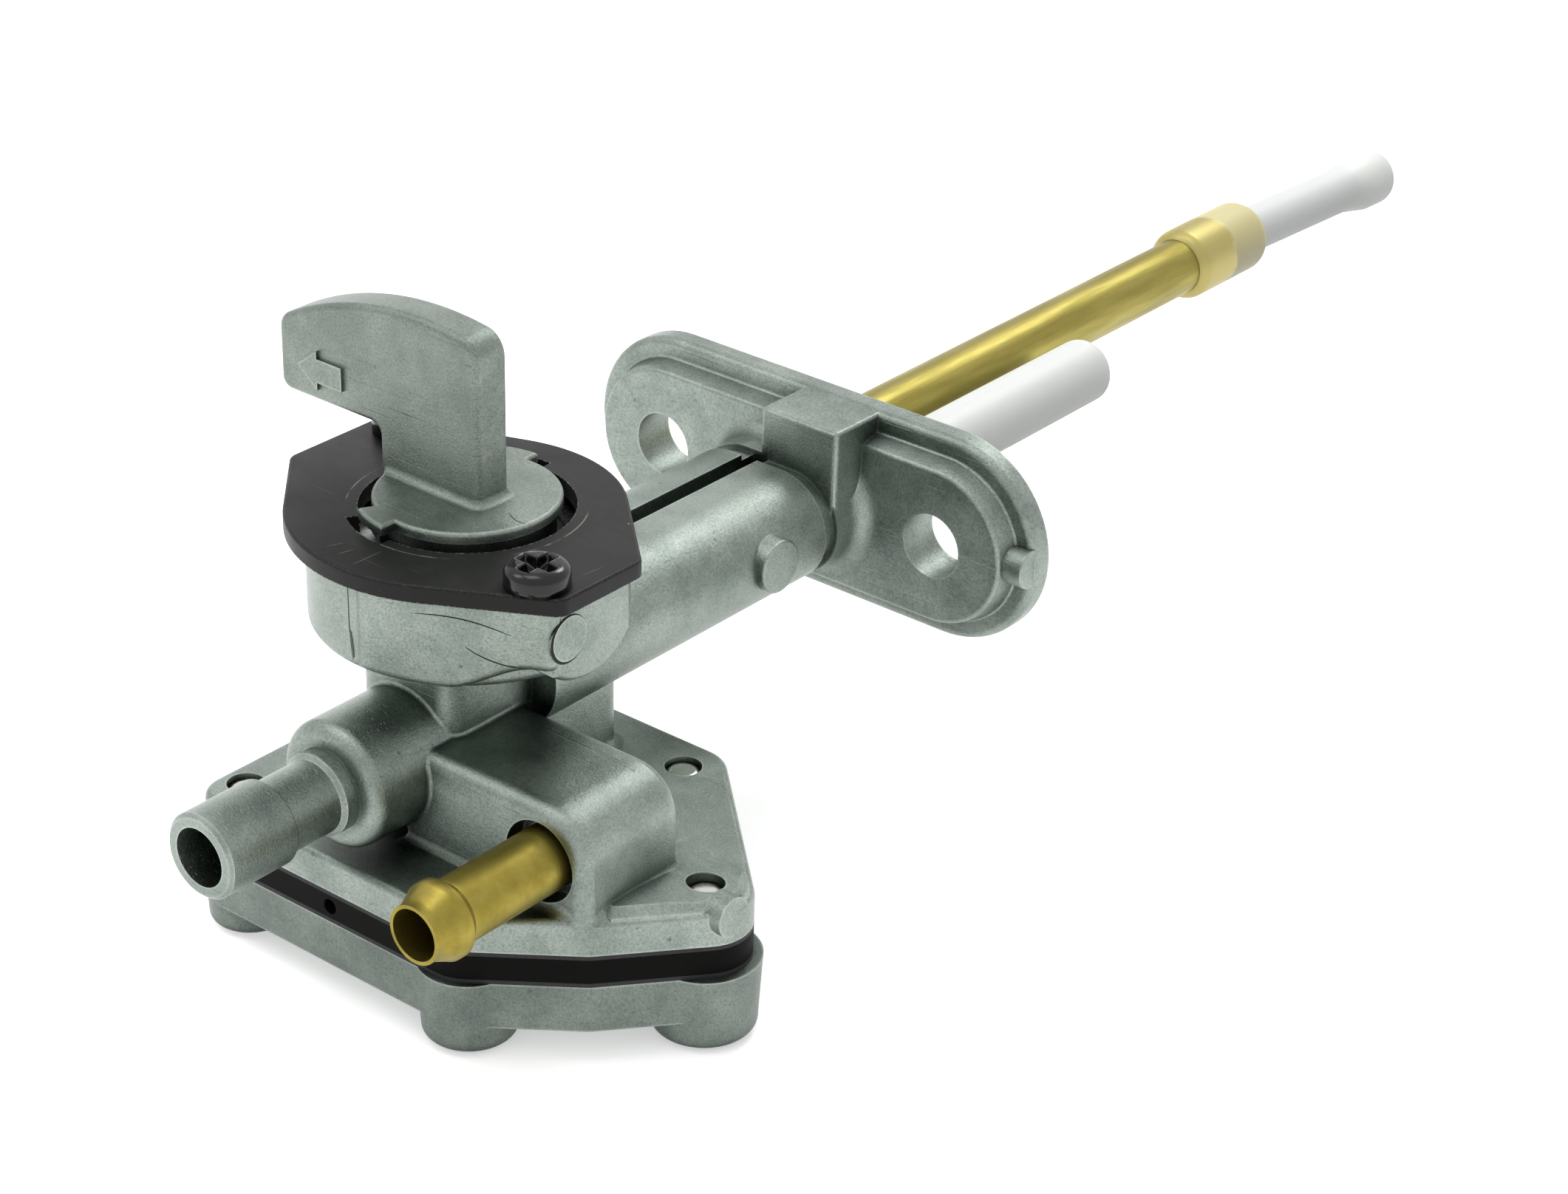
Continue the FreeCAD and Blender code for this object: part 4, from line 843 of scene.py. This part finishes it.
DISC_RISE = 1.2
disc_z = plate_top + DISC_RISE + PROUD
ribbon("lever_disc_crack", through([(axis_x + x, axis_y + y, disc_z) for x, y in
                                    ((5.6, -0.7), (6.4, -1.15), (7.2, -1.4), (8.1, -1.3))]),
       facing((0, 0, 1)), 0.1, grime_and_shade_lines, body=body_of_node("lever"))


def plate_scratch(name, start, end, width):
    """A straight scratch on the plate's top, between two points measured from the lever's axis."""
    path = through([(axis_x + x, axis_y + y, plate_top + PROUD) for x, y in (start, end)])
    return ribbon(name, path, facing((0, 0, 1)), width, bare_scratch)


plate_scratch("plate_scratch_long", (0.85, -14.9), (0.95, -11.6), 0.09)
plate_scratch("plate_scratch_short", (-1.45, -14.4), (-1.1, -12.9), 0.09)
plate_scratch("plate_scratch_left", (-3.2, -14.1), (-2.6, -12.6), 0.07)
plate_scratch("plate_scratch_right", (16.6, -3.4), (16.9, -1.2), 0.06)


# %% [markdown]
# ## Floor
# The tap stands on a pale sheet. The camera sees it white with the tap's soft shadow, and so
# do mirrors and clear things. For the light that it throws on the tap, it is a mid grey.

# %% Floor
FLOOR_DROP = 0.3
floor_z = cad_low[2] / MM - FLOOR_DROP


def background_ray(tree):
    """1 for a ray from the camera, off a mirror or through a clear thing, and 0 for light."""
    path = add(tree, "ShaderNodeLightPath")
    seen = add(tree, "ShaderNodeMath", links={0: path.outputs["Is Camera Ray"],
                                               1: path.outputs["Is Transmission Ray"]},
               operation="MAXIMUM")
    return add(tree, "ShaderNodeMath", links={0: seen.outputs[0], 1: path.outputs["Is Glossy Ray"]},
               operation="MAXIMUM").outputs[0]


def paper():
    """A pale sheet: a diffuse grey for the light, and white with shadows where it is seen."""
    made = bpy.data.materials.new("pale_paper")
    made.use_nodes = True
    tree = made.node_tree
    tree.nodes.clear()
    grey = add(tree, "ShaderNodeBsdfDiffuse", {"Color": linear("8c8d8c")})
    white = add(tree, "ShaderNodeBsdfDiffuse", {"Color": linear("ffffff")})
    glow = add(tree, "ShaderNodeEmission", {"Color": linear("ffffff"), "Strength": 0.45})
    lit_white = add(tree, "ShaderNodeAddShader", links={0: white.outputs[0], 1: glow.outputs[0]})
    mixed = add(tree, "ShaderNodeMixShader",
                links={0: background_ray(tree), 1: grey.outputs[0], 2: lit_white.outputs[0]})
    add(tree, "ShaderNodeOutputMaterial", links={"Surface": mixed.outputs[0]})
    return made


def sheet_of_paper(half):
    """A flat square under the tap, from half its side in mm."""
    corners = np.array([(-half, -half, floor_z), (half, -half, floor_z),
                        (half, half, floor_z), (-half, half, floor_z)]) * MM
    mesh = bpy.data.meshes.new("floor")
    mesh.from_pydata(corners.tolist(), [], [(0, 1, 2, 3)])
    mesh.materials.append(paper())
    made = bpy.data.objects.new("floor", mesh)
    bpy.context.scene.collection.objects.link(made)
    return made


floor = sheet_of_paper(3000.0)
print("floor at z =", round(floor_z, 2), "mm")


# %% [markdown]
# ## Light
# In the photograph every face that looks up is pale and every upright face is darker, so the
# light comes from above: a wide ceiling over a dim room. Four soft boxes give the long
# highlights on the neck and the edges. The camera, mirrors and clear things see the room white.

# %% Room
DARK_CORNER = (0.50, 0.65, 0.57)


def room():
    """A world that is white where it is seen, and lights the tap as a room with a pale ceiling."""
    world = bpy.data.worlds.new("studio")
    world.use_nodes = True
    tree = world.node_tree
    tree.nodes.clear()
    direction = add(tree, "ShaderNodeTexCoord").outputs["Generated"]
    height = add(tree, "ShaderNodeSeparateXYZ", links={"Vector": direction}).outputs["Z"]
    half = add(tree, "ShaderNodeMapRange", {"From Min": -1.0, "From Max": 1.0}, {"Value": height})
    shade = add(tree, "ShaderNodeValToRGB", links={"Fac": half.outputs["Result"]},
                stops=[(0.0, (0.08, 0.082, 0.08, 1)), (0.5, (0.1, 0.103, 0.1, 1)),
                       (0.6, (0.26, 0.266, 0.26, 1)), (0.72, (0.95, 0.96, 0.95, 1)),
                       (1.0, (1.0, 1.0, 1.0, 1))])
    # One corner of the room, behind the tap on the right, throws less light on it.
    near = add(tree, "ShaderNodeVectorMath", {1: DARK_CORNER}, {0: direction},
               operation="DOT_PRODUCT")
    corner = add(tree, "ShaderNodeMapRange", {"From Min": 0.78, "From Max": 0.97,
                                               "To Min": 1.0, "To Max": 0.12},
                 {"Value": near.outputs["Value"]})
    shaded = add(tree, "ShaderNodeVectorMath",
                 links={0: shade.outputs["Color"], 3: corner.outputs["Result"]},
                 operation="SCALE")
    dim = add(tree, "ShaderNodeBackground", {"Strength": 1.0}, {"Color": shaded.outputs[0]})
    white = add(tree, "ShaderNodeBackground", {"Color": (1, 1, 1, 1), "Strength": 1.0})
    mixed = add(tree, "ShaderNodeMixShader",
                links={0: background_ray(tree), 1: dim.outputs[0], 2: white.outputs[0]})
    add(tree, "ShaderNodeOutputWorld", links={"Surface": mixed.outputs[0]})
    bpy.context.scene.world = world


room()

# %% Soft boxes
AIM = np.array([0.0, -20.0, 0.0])

# Azimuth and elevation in degrees, then distance, width and height in mm, then watts.
SOFT_BOXES = {
    "box_back": (188, 46, 700, 240, 180, 1.3),
    "box_back_left": (236, 12, 700, 260, 140, 0.22),
    "box_overhead": (-30, 78, 700, 300, 300, 0.8),
    "box_front_left": (-50, 48, 800, 260, 300, 0.8),
}


def soft_box(name, azimuth, elevation, distance, width, height, power):
    """An area lamp that is aimed at the tap."""
    turn, rise = math.radians(azimuth), math.radians(elevation)
    back = np.array([math.sin(turn) * math.cos(rise), -math.cos(turn) * math.cos(rise),
                     math.sin(rise)])
    lamp = bpy.data.lights.new(name, "AREA")
    lamp.shape = "RECTANGLE"
    lamp.size = width * MM
    lamp.size_y = height * MM
    lamp.energy = power
    made = bpy.data.objects.new(name, lamp)
    made.location = (AIM + back * distance) * MM
    made.rotation_euler = (math.radians(90 - elevation), 0, math.radians(azimuth))
    bpy.context.scene.collection.objects.link(made)
    return made


for name, numbers in SOFT_BOXES.items():
    soft_box(name, *numbers)
print("soft boxes:", len(SOFT_BOXES))


# %% [markdown]
# ## Camera
# The viewpoint was found from the photograph: straight edges on the tap give the lens and the
# direction, and the flange's hole spacing gives the distance. It is a long lens, so the tap
# looks nearly as it would in a parallel view.

# %% Camera
LENS_MM = 80.04
SENSOR_MM = 36.0
CAMERA_PLACE = np.array([191.56, -247.40, 152.28])
CAMERA_AZIMUTH = 38.395
CAMERA_ELEVATION = 27.924
CAMERA_ROLL = 1.597


def turned(angle, axis):
    """A turn about X or Z as a 3 by 3 matrix, with the angle in degrees."""
    c, s = math.cos(math.radians(angle)), math.sin(math.radians(angle))
    if axis == "X":
        return np.array([[1, 0, 0], [0, c, -s], [0, s, c]])
    return np.array([[c, -s, 0], [s, c, 0], [0, 0, 1]])


def photo_camera():
    """The camera turned about Z, tipped down from the horizon, then rolled about its own axis."""
    data = bpy.data.cameras.new("camera")
    data.lens = LENS_MM
    data.sensor_width = SENSOR_MM
    data.clip_start = 0.01
    data.clip_end = 20.0
    stand = np.eye(4)
    stand[:3, :3] = (turned(CAMERA_AZIMUTH, "Z") @ turned(90 - CAMERA_ELEVATION, "X")
                     @ turned(CAMERA_ROLL, "Z"))
    stand[:3, 3] = CAMERA_PLACE * MM
    made = bpy.data.objects.new("camera", data)
    made.matrix_world = Matrix(stand.tolist())
    bpy.context.scene.collection.objects.link(made)
    bpy.context.scene.camera = made
    return made


photo_camera()
bpy.context.scene.view_settings.view_transform = "Standard"
print("camera at", CAMERA_PLACE.tolist(), "mm")
